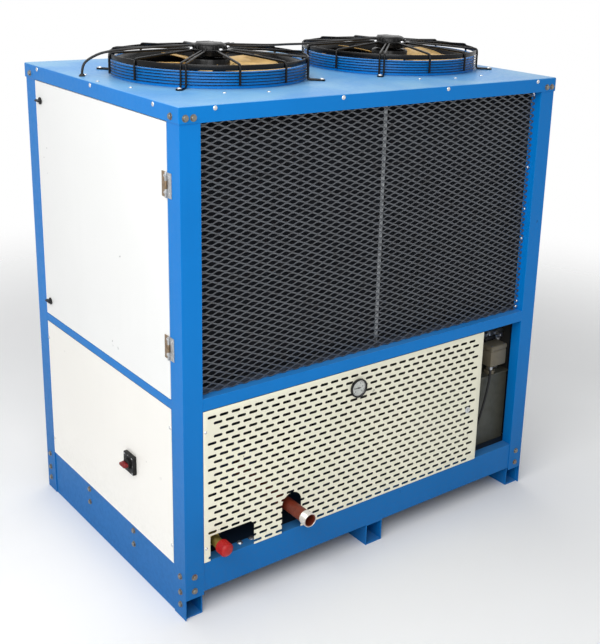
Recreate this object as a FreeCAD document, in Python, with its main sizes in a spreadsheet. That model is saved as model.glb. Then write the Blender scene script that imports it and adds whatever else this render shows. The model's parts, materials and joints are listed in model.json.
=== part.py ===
import FreeCAD, Part
import math
import os
import Sketcher
from FreeCAD import Rotation, Vector

# Air-cooled water chiller: a folded sheet cabinet on three skids, two axial fans in the lid, two finned
# coils behind expanded metal, and the water side with its pump, tank and evaporator in the lower half.
# Millimetres, +Z up, the front faces -Y, the origin lies on the floor under the middle of the cabinet.

doc = FreeCAD.newDocument("Chiller")
sheet = doc.addObject("Spreadsheet::Sheet", "Sizes")
rows = []
nodes = []


class Size:
    """A length with its value and with the text that binds a property to the sheet."""

    def __init__(self, value, text):
        self.value = value
        self.text = text

    def __add__(self, other):
        return combine(self, "+", other)

    def __radd__(self, other):
        return combine(other, "+", self)

    def __sub__(self, other):
        return combine(self, "-", other)

    def __rsub__(self, other):
        return combine(other, "-", self)

    def __mul__(self, other):
        return combine(self, "*", other)

    def __rmul__(self, other):
        return combine(other, "*", self)

    def __truediv__(self, other):
        return combine(self, "/", other)

    def __neg__(self):
        return combine(-1, "*", self)


def as_size(number):
    if isinstance(number, Size):
        return number
    return Size(float(number), f"({float(number)!r})")


def combine(first, sign, second):
    first = as_size(first)
    second = as_size(second)
    if sign == "+":
        value = first.value + second.value
    elif sign == "-":
        value = first.value - second.value
    elif sign == "*":
        value = first.value * second.value
    else:
        value = first.value / second.value
    return Size(value, f"({first.text} {sign} {second.text})")


def size(name, value):
    rows.append(name)
    sheet.set(f"A{len(rows)}", str(value))
    sheet.setAlias(f"A{len(rows)}", name)
    return Size(float(value), f"Sizes.{name}")


def bind(thing, name, number):
    thing.setExpression(name, as_size(number).text)


# Cabinet
wide = size("wide", 1510)
deep = size("deep", 1040)
tall = size("tall", 1600)
lid_sheet = size("lid_sheet", 2.5)
lid_flange = size("lid_flange", 48)
lid_play = size("lid_play", 0.5)
steel = size("steel", 3)
panel_sheet = size("panel_sheet", 1.5)
post_front = size("post_front", 66)
post_side = size("post_side", 70)
post_return = size("post_return", 45)
seat_depth = size("seat_depth", 18)
seat_wide = size("seat_wide", 20)
stop_wide = size("stop_wide", 15)
foot_cut = size("foot_cut", 70)
rail_low = size("rail_low", 80)
rail_top = size("rail_top", 182)
rail_flange = size("rail_flange", 66)
rail_foot = size("rail_foot", 40)
mid_low = size("mid_low", 695)
mid_top = size("mid_top", 735)
mid_flange = size("mid_flange", 60)
bar_top = size("bar_top", 722)
bar_depth = size("bar_depth", 15)
skid_wide = size("skid_wide", 62)
skid_wall = size("skid_wall", 4)
skid_plate = size("skid_plate", 168)
skid_recess = size("skid_recess", 10)
middle_wide = size("middle_wide", 72)
middle_at = size("middle_at", 5)
tray_sheet = size("tray_sheet", 2.5)
joist_wide = size("joist_wide", 44)
play = size("play", 0.3)
panel_gap = size("panel_gap", 2)
door_gap = size("door_gap", 3)

# Coils and their guards
mesh_set = size("mesh_set", 25)
mesh_thick = size("mesh_thick", 3)
mesh_strand = size("mesh_strand", 9)
mesh_pitch = size("mesh_pitch", 168)
mesh_rise = size("mesh_rise", 84)
casing_sheet = size("casing_sheet", 1.5)
casing_lip = size("casing_lip", 14)
coil_set = size("coil_set", 64)
coil_thick = size("coil_thick", 90)
fin_pitch = size("fin_pitch", 57)
fin_groove = size("fin_groove", 9)
fin_deep = size("fin_deep", 3)
strip_at = size("strip_at", 25)
strip_wide = size("strip_wide", 14)
deck_sheet = size("deck_sheet", 2)

# Slotted panel, gauge and lock
slot_long = size("slot_long", 60)
slot_high = size("slot_high", 12)
slot_pitch = size("slot_pitch", 83.6)
slot_rise = size("slot_rise", 43.2)
pan_right = size("pan_right", 490)
pan_return = size("pan_return", 20)
gauge_at = size("gauge_at", -96)
gauge_up = size("gauge_up", 623)
gauge_rad = size("gauge_rad", 33)
lock_at = size("lock_at", 430)
lock_up = size("lock_up", 400)

# Pipes
outlet_at = size("outlet_at", -357)
outlet_up = size("outlet_up", 267)
outlet_rad = size("outlet_rad", 21.2)
outlet_bore = size("outlet_bore", 18)
outlet_out = size("outlet_out", 103)
collar_rad = size("collar_rad", 23.6)
collar_long = size("collar_long", 30)
inlet_at = size("inlet_at", -634)
inlet_up = size("inlet_up", 235)
inlet_rad = size("inlet_rad", 16.8)
cap_rad = size("cap_rad", 23)
cap_long = size("cap_long", 40)
notch_left = size("notch_left", -663)
notch_right = size("notch_right", -502)
notch_high = size("notch_high", 88)
arch_rad = size("arch_rad", 38)
arch_up = size("arch_up", 282)

# Door, latches and isolator
hinge_tall = size("hinge_tall", 72)
leaf_wide = size("leaf_wide", 27)
leaf_thick = size("leaf_thick", 2)
knuckle_rad = size("knuckle_rad", 4)
pin_rad = size("pin_rad", 1.5)
pin_play = size("pin_play", 0.08)
hinge_high = size("hinge_high", 1374)
hinge_low = size("hinge_low", 888)
latch_in = size("latch_in", 39)
latch_rad = size("latch_rad", 8)
fit_play = size("fit_play", 0.06)
switch_at = size("switch_at", -183)
switch_up = size("switch_up", 404)
switch_wide = size("switch_wide", 65)
knob_rad = size("knob_rad", 19)

# Fans
fan_pitch = size("fan_pitch", 765)
fan_shift = size("fan_shift", 37.5)
throat_rad = size("throat_rad", 282)
shroud_rad = size("shroud_rad", 312)
shroud_high = size("shroud_high", 50)
shroud_sheet = size("shroud_sheet", 2)
guard_rad = size("guard_rad", 325)
guard_high = size("guard_high", 74.5)
guard_rise = size("guard_rise", 13)
wire = size("wire", 4)
foot_rad = size("foot_rad", 380)
motor_rad = size("motor_rad", 58)
motor_low = size("motor_low", 63)
motor_top = size("motor_top", 105)
shaft_rad = size("shaft_rad", 10)
shaft_play = size("shaft_play", 0.06)
hub_rad = size("hub_rad", 66)
blade_rad = size("blade_rad", 275)

doc.recompute()

half_wide = wide / 2 - lid_sheet - lid_play
half_deep = deep / 2 - lid_sheet - lid_play
lid_under = tall - lid_sheet
flange_low = tall - lid_flange


def fresh(kind, name):
    return doc.addObject(kind, name.replace("_", " ").title().replace(" ", ""))


def finish(label, thing):
    thing.Label = label
    nodes.append(thing)
    return thing


def block(name, along_x, along_y, along_z):
    found = fresh("Part::Box", name)
    bind(found, "Length", as_size(along_x[1]) - along_x[0])
    bind(found, "Width", as_size(along_y[1]) - along_y[0])
    bind(found, "Height", as_size(along_z[1]) - along_z[0])
    bind(found, "Placement.Base.x", along_x[0])
    bind(found, "Placement.Base.y", along_y[0])
    bind(found, "Placement.Base.z", along_z[0])
    return found


def stand(found, axis, at, low):
    """Turns a round piece to its axis and binds the place of its lower end."""
    turns = {"X": Rotation(Vector(0, 1, 0), 90), "Y": Rotation(Vector(1, 0, 0), -90), "Z": Rotation()}
    places = {"X": (low, at[0], at[1]), "Y": (at[0], low, at[1]), "Z": (at[0], at[1], low)}
    found.Placement = FreeCAD.Placement(Vector(), turns[axis])
    for letter, number in zip("xyz", places[axis]):
        bind(found, f"Placement.Base.{letter}", number)
    return found


def rod(name, axis, at, radius, low, high):
    found = fresh("Part::Cylinder", name)
    bind(found, "Radius", radius)
    bind(found, "Height", as_size(high) - low)
    return stand(found, axis, at, low)


def cone(name, axis, at, first, second, low, high):
    found = fresh("Part::Cone", name)
    bind(found, "Radius1", first)
    bind(found, "Radius2", second)
    bind(found, "Height", as_size(high) - low)
    return stand(found, axis, at, low)


def prism(name, axis, at, sides, radius, low, high):
    found = fresh("Part::Prism", name)
    found.Polygon = sides
    bind(found, "Circumradius", radius)
    bind(found, "Height", as_size(high) - low)
    return stand(found, axis, at, low)


def fuse(name, parts):
    found = fresh("Part::MultiFuse", name)
    found.Shapes = parts
    return found


def cut(name, base, tools):
    found = fresh("Part::Cut", name)
    found.Base = base
    found.Tool = tools[0] if len(tools) == 1 else fuse(f"{name}_tools", tools)
    return found


def group(name, parts):
    found = fresh("Part::Compound", name)
    found.Links = parts
    return found


def place(thing, spot):
    for letter, number in zip("xyz", spot):
        bind(thing, f"Placement.Base.{letter}", number)
    return thing


def new_body(name):
    return fresh("PartDesign::Body", name)


def datum(body, role):
    return next(item for item in body.Origin.OriginFeatures if item.Role == role)


def sketch(body, plane, lift, loops):
    """A sketch on one of the body's own planes; a loop is a list of corners or (x, y, radius)."""
    drawn = body.newObject("Sketcher::SketchObject", "Outline")
    drawn.AttachmentSupport = [(datum(body, f"{plane}_Plane"), "")]
    drawn.MapMode = "FlatFace"
    bind(drawn, "AttachmentOffset.Base.z", lift)
    for loop in loops:
        if isinstance(loop, tuple):
            add_circle(drawn, *loop)
        else:
            add_polygon(drawn, loop)
    return drawn


def hold(drawn, kind, element, point, number):
    number = as_size(number)
    if kind == "Radius":
        constraint = Sketcher.Constraint("Radius", element, number.value)
    else:
        constraint = Sketcher.Constraint(kind, -1, 1, element, point, number.value)
    index = drawn.addConstraint(constraint)
    if "Sizes" in number.text:
        drawn.setExpression(f"Constraints[{index}]", number.text)


def add_circle(drawn, across, up, radius):
    centre = Vector(as_size(across).value, as_size(up).value, 0)
    element = drawn.addGeometry(Part.Circle(centre, Vector(0, 0, 1), as_size(radius).value), False)
    hold(drawn, "DistanceX", element, 3, across)
    hold(drawn, "DistanceY", element, 3, up)
    hold(drawn, "Radius", element, 3, radius)


def add_polygon(drawn, corners):
    first = drawn.GeometryCount
    count = len(corners)
    spots = [Vector(as_size(a).value, as_size(b).value, 0) for a, b in corners]
    for k in range(count):
        drawn.addGeometry(Part.LineSegment(spots[k], spots[(k + 1) % count]), False)
    for k in range(count):
        following = first + (k + 1) % count
        drawn.addConstraint(Sketcher.Constraint("Coincident", first + k, 2, following, 1))
        hold(drawn, "DistanceX", first + k, 1, corners[k][0])
        hold(drawn, "DistanceY", first + k, 1, corners[k][1])


def pad(body, plane, low, high, *loops):
    lift = -as_size(high) if plane == "XZ" else low
    found = body.newObject("PartDesign::Pad", "Pad")
    found.Profile = sketch(body, plane, lift, loops)
    bind(found, "Length", as_size(high) - low)
    body.Tip = found
    doc.recompute()
    return found


def pocket(body, plane, low, high, *loops):
    lift = -as_size(low) if plane == "XZ" else high
    before = body.Shape.Volume
    base = body.Tip
    found = body.newObject("PartDesign::Pocket", "Pocket")
    found.BaseFeature = base
    found.Profile = sketch(body, plane, lift, loops)
    bind(found, "Length", as_size(high) - low)
    body.Tip = found
    doc.recompute()
    if body.Shape.Volume > before - 0.5:
        raise RuntimeError(f"a pocket of {body.Label} cuts nothing")
    return found


def revolve(body, plane, axis, loop):
    found = body.newObject("PartDesign::Revolution", "Revolution")
    found.Profile = sketch(body, plane, 0, [loop])
    found.ReferenceAxis = (datum(body, f"{axis}_Axis"), [""])
    body.Tip = found
    doc.recompute()
    return found


def rows_of(body, feature, steps):
    """Repeats a feature along one or two axes; a step is (axis, spacing, count)."""
    base = body.Tip
    many = body.newObject("PartDesign::MultiTransform", "Rows")
    many.BaseFeature = base
    many.Originals = [feature]
    moves = []
    for axis, spacing, count in steps:
        move = body.newObject("PartDesign::LinearPattern", "Row")
        move.Direction = (datum(body, f"{axis[-1]}_Axis"), [""])
        move.Reversed = axis[0] == "-"
        move.Mode = "Spacing"
        bind(move, "Offset", spacing)
        move.Occurrences = count
        moves.append(move)
    many.Transformations = moves
    body.Tip = many
    doc.recompute()
    return many


def ring_of(body, features, count):
    found = body.newObject("PartDesign::PolarPattern", "Ring")
    found.Originals = features
    found.Axis = (datum(body, "Z_Axis"), [""])
    found.Angle = 360
    found.Occurrences = count
    body.Tip = found
    doc.recompute()
    return found


def span(side, wall, near, far):
    """The range between two depths behind an outer wall, on the side -1 or 1."""
    if side < 0:
        return -wall + near, -wall + far
    return wall - far, wall - near


def rect(a, b):
    return [(a[0], b[0]), (a[1], b[0]), (a[1], b[1]), (a[0], b[1])]


# Skids: a hollow channel under each side with an upstand that is bolted inside the posts
skid_end = half_deep - skid_recess
for side, label in ((-1, "left_skid"), (1, "right_skid")):
    body = new_body(label)
    outer = side * (half_wide - steel)
    inner = side * (half_wide - steel - skid_wall)
    far = side * (half_wide - steel - skid_wide)
    far_inner = side * (half_wide - steel - skid_wide + skid_wall)
    profile = [(outer, 0), (far, 0), (far, rail_low), (inner, rail_low), (inner, skid_plate), (outer, skid_plate)]
    hollow = rect((inner, far_inner), (skid_wall, rail_low - skid_wall))
    pad(body, "XZ", -skid_end, skid_end, profile, hollow)
    finish(label, body)

body = new_body("middle_skid")
low_x = middle_at - middle_wide / 2
high_x = middle_at + middle_wide / 2
middle_end = half_deep - steel
pad(body, "XZ", -middle_end, middle_end, rect((low_x, high_x), (0, rail_low)),
    rect((low_x + skid_wall, high_x - skid_wall), (skid_wall, rail_low - skid_wall)))
finish("middle_skid", body)

# Base rails: channels open to the inside, with a deep top flange that shows as a ledge
rail_end = half_wide - steel - skid_wall
for side, label in ((-1, "front_base_rail"), (1, "rear_base_rail")):
    body = new_body(label)
    face = side * (half_deep - steel)
    back = side * (half_deep - steel * 2)
    ledge = side * (half_deep - steel - rail_flange)
    foot = side * (half_deep - steel - rail_foot)
    profile = [(face, rail_low), (foot, rail_low), (foot, rail_low + steel), (back, rail_low + steel),
               (back, rail_top - steel), (ledge, rail_top - steel), (ledge, rail_top), (face, rail_top)]
    pad(body, "YZ", -rail_end, rail_end, profile)
    finish(label, body)

# Tray: a floor sheet under the rail flanges, on joists that stand on the skids
body = new_body("base_tray")
tray_top = rail_top - steel
tray_end = half_deep - steel * 2
tray_side = half_wide - seat_depth - play
pad(body, "XY", tray_top - tray_sheet, tray_top, rect((-tray_side, tray_side), (-tray_end, tray_end)))
joist_end = half_deep - steel - rail_flange - play
joists = [-tray_side, middle_at - joist_wide / 2, tray_side - joist_wide]
pad(body, "XY", rail_low, tray_top - tray_sheet,
    *[rect((x, x + joist_wide), (-joist_end, joist_end)) for x in joists])
finish("base_tray", body)

# Posts: folded angles with an inner return at the front and a rebate that seats the side panels
posts = ((-1, -1, "front_left_post"), (1, -1, "front_right_post"),
         (-1, 1, "rear_left_post"), (1, 1, "rear_right_post"))
for side, end, label in posts:
    body = new_body(label)

    def at(x, y):
        return side * (half_wide - x), end * (half_deep - y)

    profile = [at(0, 0), at(post_front, 0), at(post_front, post_return), at(post_front - steel, post_return),
               at(post_front - steel, steel), at(steel, steel), at(steel, post_side - steel),
               at(seat_depth + steel, post_side - steel), at(seat_depth + steel, post_side + seat_wide),
               at(seat_depth, post_side + seat_wide), at(seat_depth, post_side), at(0, post_side)]
    pad(body, "XY", 0, lid_under, profile)
    clear = 1 + post_front
    pocket(body, "XY", 0, foot_cut, [at(steel, -1), at(clear, -1), at(clear, post_return + 1),
                                     at(steel, post_return + 1)])
    inside = post_front - steel * 2
    pocket(body, "XY", 0, rail_top, [at(inside, steel), at(clear, steel), at(clear, post_return + 1),
                                     at(inside, post_return + 1)])
    pocket(body, "XY", 0, rail_top, [at(steel, post_side - steel * 2), at(seat_depth + steel * 2, post_side - steel * 2),
                                     at(seat_depth + steel * 2, post_side + seat_wide + 1),
                                     at(steel, post_side + seat_wide + 1)])
    stop = mesh_set + mesh_thick
    tab = [at(post_front, stop), at(post_front + stop_wide, stop),
           at(post_front + stop_wide, stop + steel), at(post_front, stop + steel)]
    pad(body, "XY", mid_top, lid_under, tab)
    if not (side > 0 and end < 0):
        pad(body, "XY", rail_top, mid_low, tab)
    finish(label, body)

# Mid rails between the posts, front and rear, and the bars between the side panels
opening = half_wide - post_front
for side, label in ((-1, "front_mid_rail"), (1, "rear_mid_rail")):
    body = new_body(label)
    face = side * half_deep
    back = side * (half_deep - steel)
    ledge = side * (half_deep - mid_flange)
    profile = [(face, mid_low), (ledge, mid_low), (ledge, mid_low + steel), (back, mid_low + steel),
               (back, mid_top - steel), (ledge, mid_top - steel), (ledge, mid_top), (face, mid_top)]
    pad(body, "YZ", -opening, opening, profile)
    finish(label, body)

side_end = half_deep - post_side
bars = []
for side in (-1, 1):
    body = new_body("side_bar")
    face = side * half_wide
    back = side * (half_wide - steel)
    ledge = side * (half_wide - bar_depth)
    profile = [(face, mid_low), (ledge, mid_low), (ledge, mid_low + steel), (back, mid_low + steel),
               (back, bar_top - steel), (ledge, bar_top - steel), (ledge, bar_top), (face, bar_top)]
    pad(body, "XZ", -side_end, side_end, profile)
    bars.append(body)
finish("side_bars", group("side_bars", bars))

# Lid: a tray turned over, with a hole under each fan
fan_left = fan_shift - fan_pitch / 2
fan_right = fan_shift + fan_pitch / 2
body = new_body("lid")
pad(body, "XY", flange_low, tall, rect((-wide / 2, wide / 2), (-deep / 2, deep / 2)))
rim_x = wide / 2 - lid_sheet
rim_y = deep / 2 - lid_sheet
pocket(body, "XY", flange_low, lid_under, rect((-rim_x, rim_x), (-rim_y, rim_y)))
hole_rad = throat_rad + shroud_sheet + play
pocket(body, "XY", lid_under - 1, tall, (fan_left, 0, hole_rad), (fan_right, 0, hole_rad))
finish("lid", body)

# Plenum deck: the floor of the coil chamber, on the flanges of the mid rails
body = new_body("plenum_deck")
deck_end = half_deep - steel
pad(body, "XY", mid_top, mid_top + deck_sheet, rect((-opening + play, opening - play), (-deck_end + mid_flange / 2, deck_end - mid_flange / 2)))
finish("plenum_deck", body)


def pan(label, side, low, high, gap, depth):
    """A side panel with folded edges, flush with the posts; side -1 or 1 across the cabinet."""
    body = new_body(label)
    ends = side_end - gap
    across = span(side, half_wide, 0, depth)
    hollow = span(side, half_wide, panel_sheet, depth + 1)
    pad(body, "YZ", across[0], across[1], rect((-ends, ends), (low, high)))
    pocket(body, "YZ", hollow[0], hollow[1],
           rect((-ends + panel_sheet, ends - panel_sheet), (low + panel_sheet, high - panel_sheet)))
    return body


# Side panels and the door
body = pan("lower_left_panel", -1, skid_plate + panel_gap, mid_low - panel_gap, panel_gap, seat_depth)
cutout = span(-1, half_wide, -1, panel_sheet + 1)
half_box = switch_wide / 2 - 10
pocket(body, "YZ", cutout[0], cutout[1],
       rect((switch_at - half_box, switch_at + half_box), (switch_up - half_box, switch_up + half_box)))
finish("lower_left_panel", body)
finish("right_lower_panel", pan("right_lower_panel", 1, skid_plate + panel_gap, mid_low - panel_gap,
                                panel_gap, seat_depth))
finish("right_upper_panel", pan("right_upper_panel", 1, bar_top + panel_gap, flange_low - panel_gap,
                                panel_gap, seat_depth))

door_low = bar_top + door_gap
door_high = flange_low - door_gap
door_end = side_end - door_gap
latch_y = door_end - latch_in + 2.5
latch_spots = (("upper_latch", door_high - 64), ("lower_latch", door_low + 53))
body = pan("door_panel", -1, door_low, door_high, door_gap, seat_depth - play)
pocket(body, "YZ", cutout[0], cutout[1], *[(latch_y, up, latch_rad + fit_play) for name, up in latch_spots])
finish("door_panel", body)

# Door hinges: the middle knuckle turns with the door, the outer two and the pin stay on the post
hinge_x = -half_wide - leaf_thick - knuckle_rad / 2
hinge_y = -side_end + door_gap / 2
third = hinge_tall / 3
door_leaves = []
post_leaves = []
for up in (hinge_high, hinge_low):
    bore = pin_rad + pin_play
    low = up - third / 2 + play
    high = up + third / 2 - play
    leaf = fuse("door_leaf", [
        block("leaf", (-half_wide - leaf_thick, -half_wide), (hinge_y + knuckle_rad, hinge_y + leaf_wide),
              (up - hinge_tall / 2, up + hinge_tall / 2)),
        block("ear", (-half_wide - leaf_thick, -half_wide - 0.4), (hinge_y, hinge_y + knuckle_rad), (low, high)),
        rod("knuckle", "Z", (hinge_x, hinge_y), knuckle_rad - 0.4, low, high)])
    door_leaves.append(cut("door_leaf_bored", leaf, [rod("bore", "Z", (hinge_x, hinge_y), bore, low - 1, high + 1)]))
    parts = [block("leaf", (-half_wide - leaf_thick, -half_wide), (hinge_y - leaf_wide, hinge_y - knuckle_rad),
                   (up - hinge_tall / 2, up + hinge_tall / 2)),
             rod("pin", "Z", (hinge_x, hinge_y), pin_rad, up - hinge_tall / 2, up + hinge_tall / 2)]
    for ends in ((up - hinge_tall / 2, up - third / 2), (up + third / 2, up + hinge_tall / 2)):
        parts.append(block("ear", (-half_wide - leaf_thick, -half_wide - 0.4),
                           (hinge_y - knuckle_rad, hinge_y), ends))
        parts.append(rod("knuckle", "Z", (hinge_x, hinge_y), knuckle_rad - 0.4, ends[0], ends[1]))
    post_leaves.append(fuse("post_leaf", parts))
finish("door_hinge_leaves", group("door_hinge_leaves", door_leaves))
finish("post_hinge_leaves", group("post_hinge_leaves", post_leaves))

# Latches: a wing outside, a barrel through the door and a cam that turns behind the post's seat
cam_set = seat_depth + steel + 2
for label, up in latch_spots:
    reach = latch_in + 12
    latch = fuse(label, [
        rod("barrel", "X", (latch_y, up), latch_rad, -half_wide, -half_wide + cam_set + 3),
        rod("collar", "X", (latch_y, up), latch_rad + 4, -half_wide - 3, -half_wide),
        block("wing", (-half_wide - 14, -half_wide - 3), (latch_y - 19, latch_y + 19), (up - 4, up + 4)),
        block("cam", (-half_wide + cam_set, -half_wide + cam_set + 2.5),
              (latch_y - latch_rad, latch_y + latch_rad), (up - reach, up))])
    finish(label, latch)

# Isolator: a black plate with its switch body behind the panel, and a knob on a spindle
switch_half = switch_wide / 2
spindle = 4
face = -half_wide - 14
front = fuse("isolator_front", [
    block("plate", (face, -half_wide), (switch_at - switch_half, switch_at + switch_half),
          (switch_up - switch_half, switch_up + switch_half)),
    block("box", (-half_wide, -half_wide + 48), (switch_at - half_box + play, switch_at + half_box - play),
          (switch_up - half_box + play, switch_up + half_box - play))])
finish("isolator_plate", cut("isolator_plate", front, [
    rod("bore", "X", (switch_at, switch_up), spindle + fit_play, face - 1, face + 13)]))
finish("isolator_knob", fuse("isolator_knob", [
    rod("spindle", "X", (switch_at, switch_up), spindle, face - 2, face + 12),
    rod("skirt", "X", (switch_at, switch_up), knob_rad, face - 8, face - 0.5),
    block("grip", (face - 24, face - 8), (switch_at - knob_rad + 2, switch_at + knob_rad - 2),
          (switch_up - 6, switch_up + 6))]))

# Slotted front panel with the two notches for the pipes
body = new_body("perforated_panel")
pan_left = -opening + 1
pan_low = rail_top
pan_high = mid_low - panel_gap
arch = []
for k in range(7):
    turn = math.radians(180 - 30 * k)
    arch.append((outlet_at + math.cos(turn) * arch_rad, arch_up + math.sin(turn) * arch_rad))
notch_top = pan_low + notch_high
outline = [(pan_left, pan_low), (notch_left, pan_low), (notch_left, notch_top), (notch_right - 13, notch_top),
           (notch_right, notch_top - 13), (notch_right, pan_low), (outlet_at - arch_rad, pan_low)]
outline += arch
outline += [(outlet_at + arch_rad, pan_low), (pan_right, pan_low), (pan_right, pan_high), (pan_left, pan_high)]
front_face = span(-1, half_deep, 0, panel_sheet)
pad(body, "XZ", front_face[0], front_face[1], outline)
edge = span(-1, half_deep, panel_sheet, pan_return)
pad(body, "XZ", edge[0], edge[1], rect((pan_left, pan_left + panel_sheet), (pan_low, pan_high)))
pad(body, "XZ", edge[0], edge[1], rect((pan_right - panel_sheet, pan_right), (pan_low, pan_high)))
pad(body, "XZ", edge[0], edge[1],
    rect((pan_left + panel_sheet, pan_right - panel_sheet), (pan_high - panel_sheet, pan_high)))
through = span(-1, half_deep, -1, panel_sheet + 1)
pocket(body, "XZ", through[0], through[1], (gauge_at, gauge_up, gauge_rad - 3 + fit_play),
       (lock_at, lock_up, latch_rad + fit_play))
for start, down, count in ((15, 20, 14), (15 + slot_pitch / 2, 20 + slot_rise, 13)):
    left = pan_left + start
    top = pan_high - down
    first = pocket(body, "XZ", through[0], through[1], rect((left, left + slot_long), (top - slot_high, top)))
    rows_of(body, first, [("X", slot_pitch, count), ("-Z", 2 * slot_rise, 6)])
finish("perforated_panel", body)

# The panel's right edge is locked to a mullion between the rails
body = new_body("panel_mullion")
mullion_x = pan_right - 38
mullion = [(mullion_x, pan_return + 1), (mullion_x + 30, pan_return + 1), (mullion_x + 30, pan_return + 40),
           (mullion_x + 30 - steel, pan_return + 40), (mullion_x + 30 - steel, pan_return + 1 + steel),
           (mullion_x, pan_return + 1 + steel)]
pad(body, "XY", rail_top, mid_low, [(a, -half_deep + b) for a, b in mullion])
finish("panel_mullion", body)

cam_y = -half_deep + pan_return + 1 + steel + 2
lock = cut("lock_head", rod("head", "Y", (lock_at, lock_up), latch_rad + 4, -half_deep - 4, -half_deep),
           [block("key", (lock_at - 1.5, lock_at + 1.5), (-half_deep - 5, -half_deep - 2), (lock_up - 6, lock_up + 6))])
finish("panel_lock", fuse("panel_lock", [
    lock, rod("barrel", "Y", (lock_at, lock_up), latch_rad, -half_deep, cam_y + 3),
    block("cam", (lock_at, lock_at + 42), (cam_y, cam_y + 2), (lock_up - latch_rad, lock_up + latch_rad))]))

# Pressure gauge: case with a recessed dial, a needle on its pin and the glass
case = fuse("gauge_solid", [
    rod("bezel", "Y", (gauge_at, gauge_up), gauge_rad, -half_deep - 10, -half_deep),
    rod("case", "Y", (gauge_at, gauge_up), gauge_rad - 3, -half_deep, -half_deep + 28),
    rod("stem", "Y", (gauge_at, gauge_up), 7, -half_deep + 28, -half_deep + 58)])
case = cut("gauge_open", case, [rod("recess", "Y", (gauge_at, gauge_up), gauge_rad - 5, -half_deep - 11, -half_deep - 2)])
finish("gauge_case", fuse("gauge_case", [case, rod("pivot", "Y", (gauge_at, gauge_up), 1.2, -half_deep - 5, -half_deep - 2)]))
needle = fuse("needle_solid", [
    rod("needle_hub", "Y", (gauge_at, gauge_up), 3, -half_deep - 4.6, -half_deep - 3.2),
    block("needle_arm", (gauge_at - 20, gauge_at + 7), (-half_deep - 4.4, -half_deep - 3.6), (gauge_up - 0.8, gauge_up + 0.8))])
finish("gauge_needle", cut("gauge_needle", needle, [
    rod("bore", "Y", (gauge_at, gauge_up), 1.2 + fit_play, -half_deep - 6, -half_deep - 2)]))
finish("gauge_glass", rod("gauge_glass", "Y", (gauge_at, gauge_up), gauge_rad - 5, -half_deep - 9, -half_deep - 7))

# Expanded metal guards in front of the coils
mesh_low = mid_top
mesh_high = flange_low + 8
for side, label in ((-1, "front_mesh"), (1, "rear_mesh")):
    body = new_body(label)
    depth = span(side, half_deep, mesh_set, mesh_set + mesh_thick)
    across = opening - play
    pad(body, "XZ", depth[0], depth[1], rect((-across, across), (mesh_low, mesh_high)))
    cut_y = span(side, half_deep, mesh_set - 1, mesh_set + mesh_thick + 1)
    half_a = (mesh_pitch - mesh_strand * 2.2) / 2
    half_b = (mesh_rise - mesh_strand) / 2
    for shift, lift, counts in ((0, 0, (8, 9)), (mesh_pitch / 2, mesh_rise / 2, (7, 9))):
        x = -mesh_pitch * 3.5 + shift
        z = mesh_low + mesh_strand + half_b + lift
        diamond = [(x - half_a, z), (x, z - half_b), (x + half_a, z), (x, z + half_b)]
        first = pocket(body, "XZ", cut_y[0], cut_y[1], diamond)
        rows_of(body, first, [("X", mesh_pitch, counts[0]), ("Z", mesh_rise, counts[1])])
    finish(label, body)

# Finned coils in folded casings, with a bright cover strip down the middle
casing_front = mesh_set + mesh_thick + steel
casing_back = coil_set + coil_thick
casing_x = opening - play
coil_low = mid_top + deck_sheet
coil_high = lid_under - 8
strips = []
for side, label in ((-1, "front_coil"), (1, "rear_coil")):
    body = new_body(label)
    outer = rect((-casing_x, casing_x), (coil_low, coil_high))
    wall = rect((-casing_x + casing_sheet, casing_x - casing_sheet), (coil_low + casing_sheet, coil_high - casing_sheet))
    lips = rect((-casing_x + casing_lip, casing_x - casing_lip), (coil_low + casing_lip, coil_high - casing_lip))
    block_y = span(side, half_deep, coil_set, casing_back)
    pad(body, "XZ", block_y[0], block_y[1], outer)
    wall_y = span(side, half_deep, casing_front, coil_set)
    pad(body, "XZ", wall_y[0], wall_y[1], outer, wall)
    lip_y = span(side, half_deep, casing_front, casing_front + casing_sheet)
    pad(body, "XZ", lip_y[0], lip_y[1], outer, lips)
    groove_y = span(side, half_deep, coil_set - 1, coil_set + fin_deep)
    first = pocket(body, "XZ", groove_y[0], groove_y[1],
                   rect((-casing_x + 20, -casing_x + 20 + fin_groove), (coil_low + 20, coil_high - 20)))
    rows_of(body, first, [("X", fin_pitch, 24)])
    finish(label, body)
    strip_y = span(side, half_deep, coil_set - 2, coil_set)
    strips.append(block("strip", (strip_at - strip_wide / 2, strip_at + strip_wide / 2), strip_y,
                        (coil_low + casing_sheet, coil_high - casing_sheet)))
finish("coil_strips", group("coil_strips", strips))

# Rear lower panel
body = new_body("rear_lower_panel")
back_face = span(1, half_deep, 0, pan_return)
back_hollow = span(1, half_deep, panel_sheet, pan_return + 1)
across = opening - panel_gap
pad(body, "XZ", back_face[0], back_face[1], rect((-across, across), (rail_top, mid_low - panel_gap)))
pocket(body, "XZ", back_hollow[0], back_hollow[1],
       rect((-across + panel_sheet, across - panel_sheet), (rail_top + panel_sheet, mid_low - panel_gap - panel_sheet)))
finish("rear_lower_panel", body)

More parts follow.
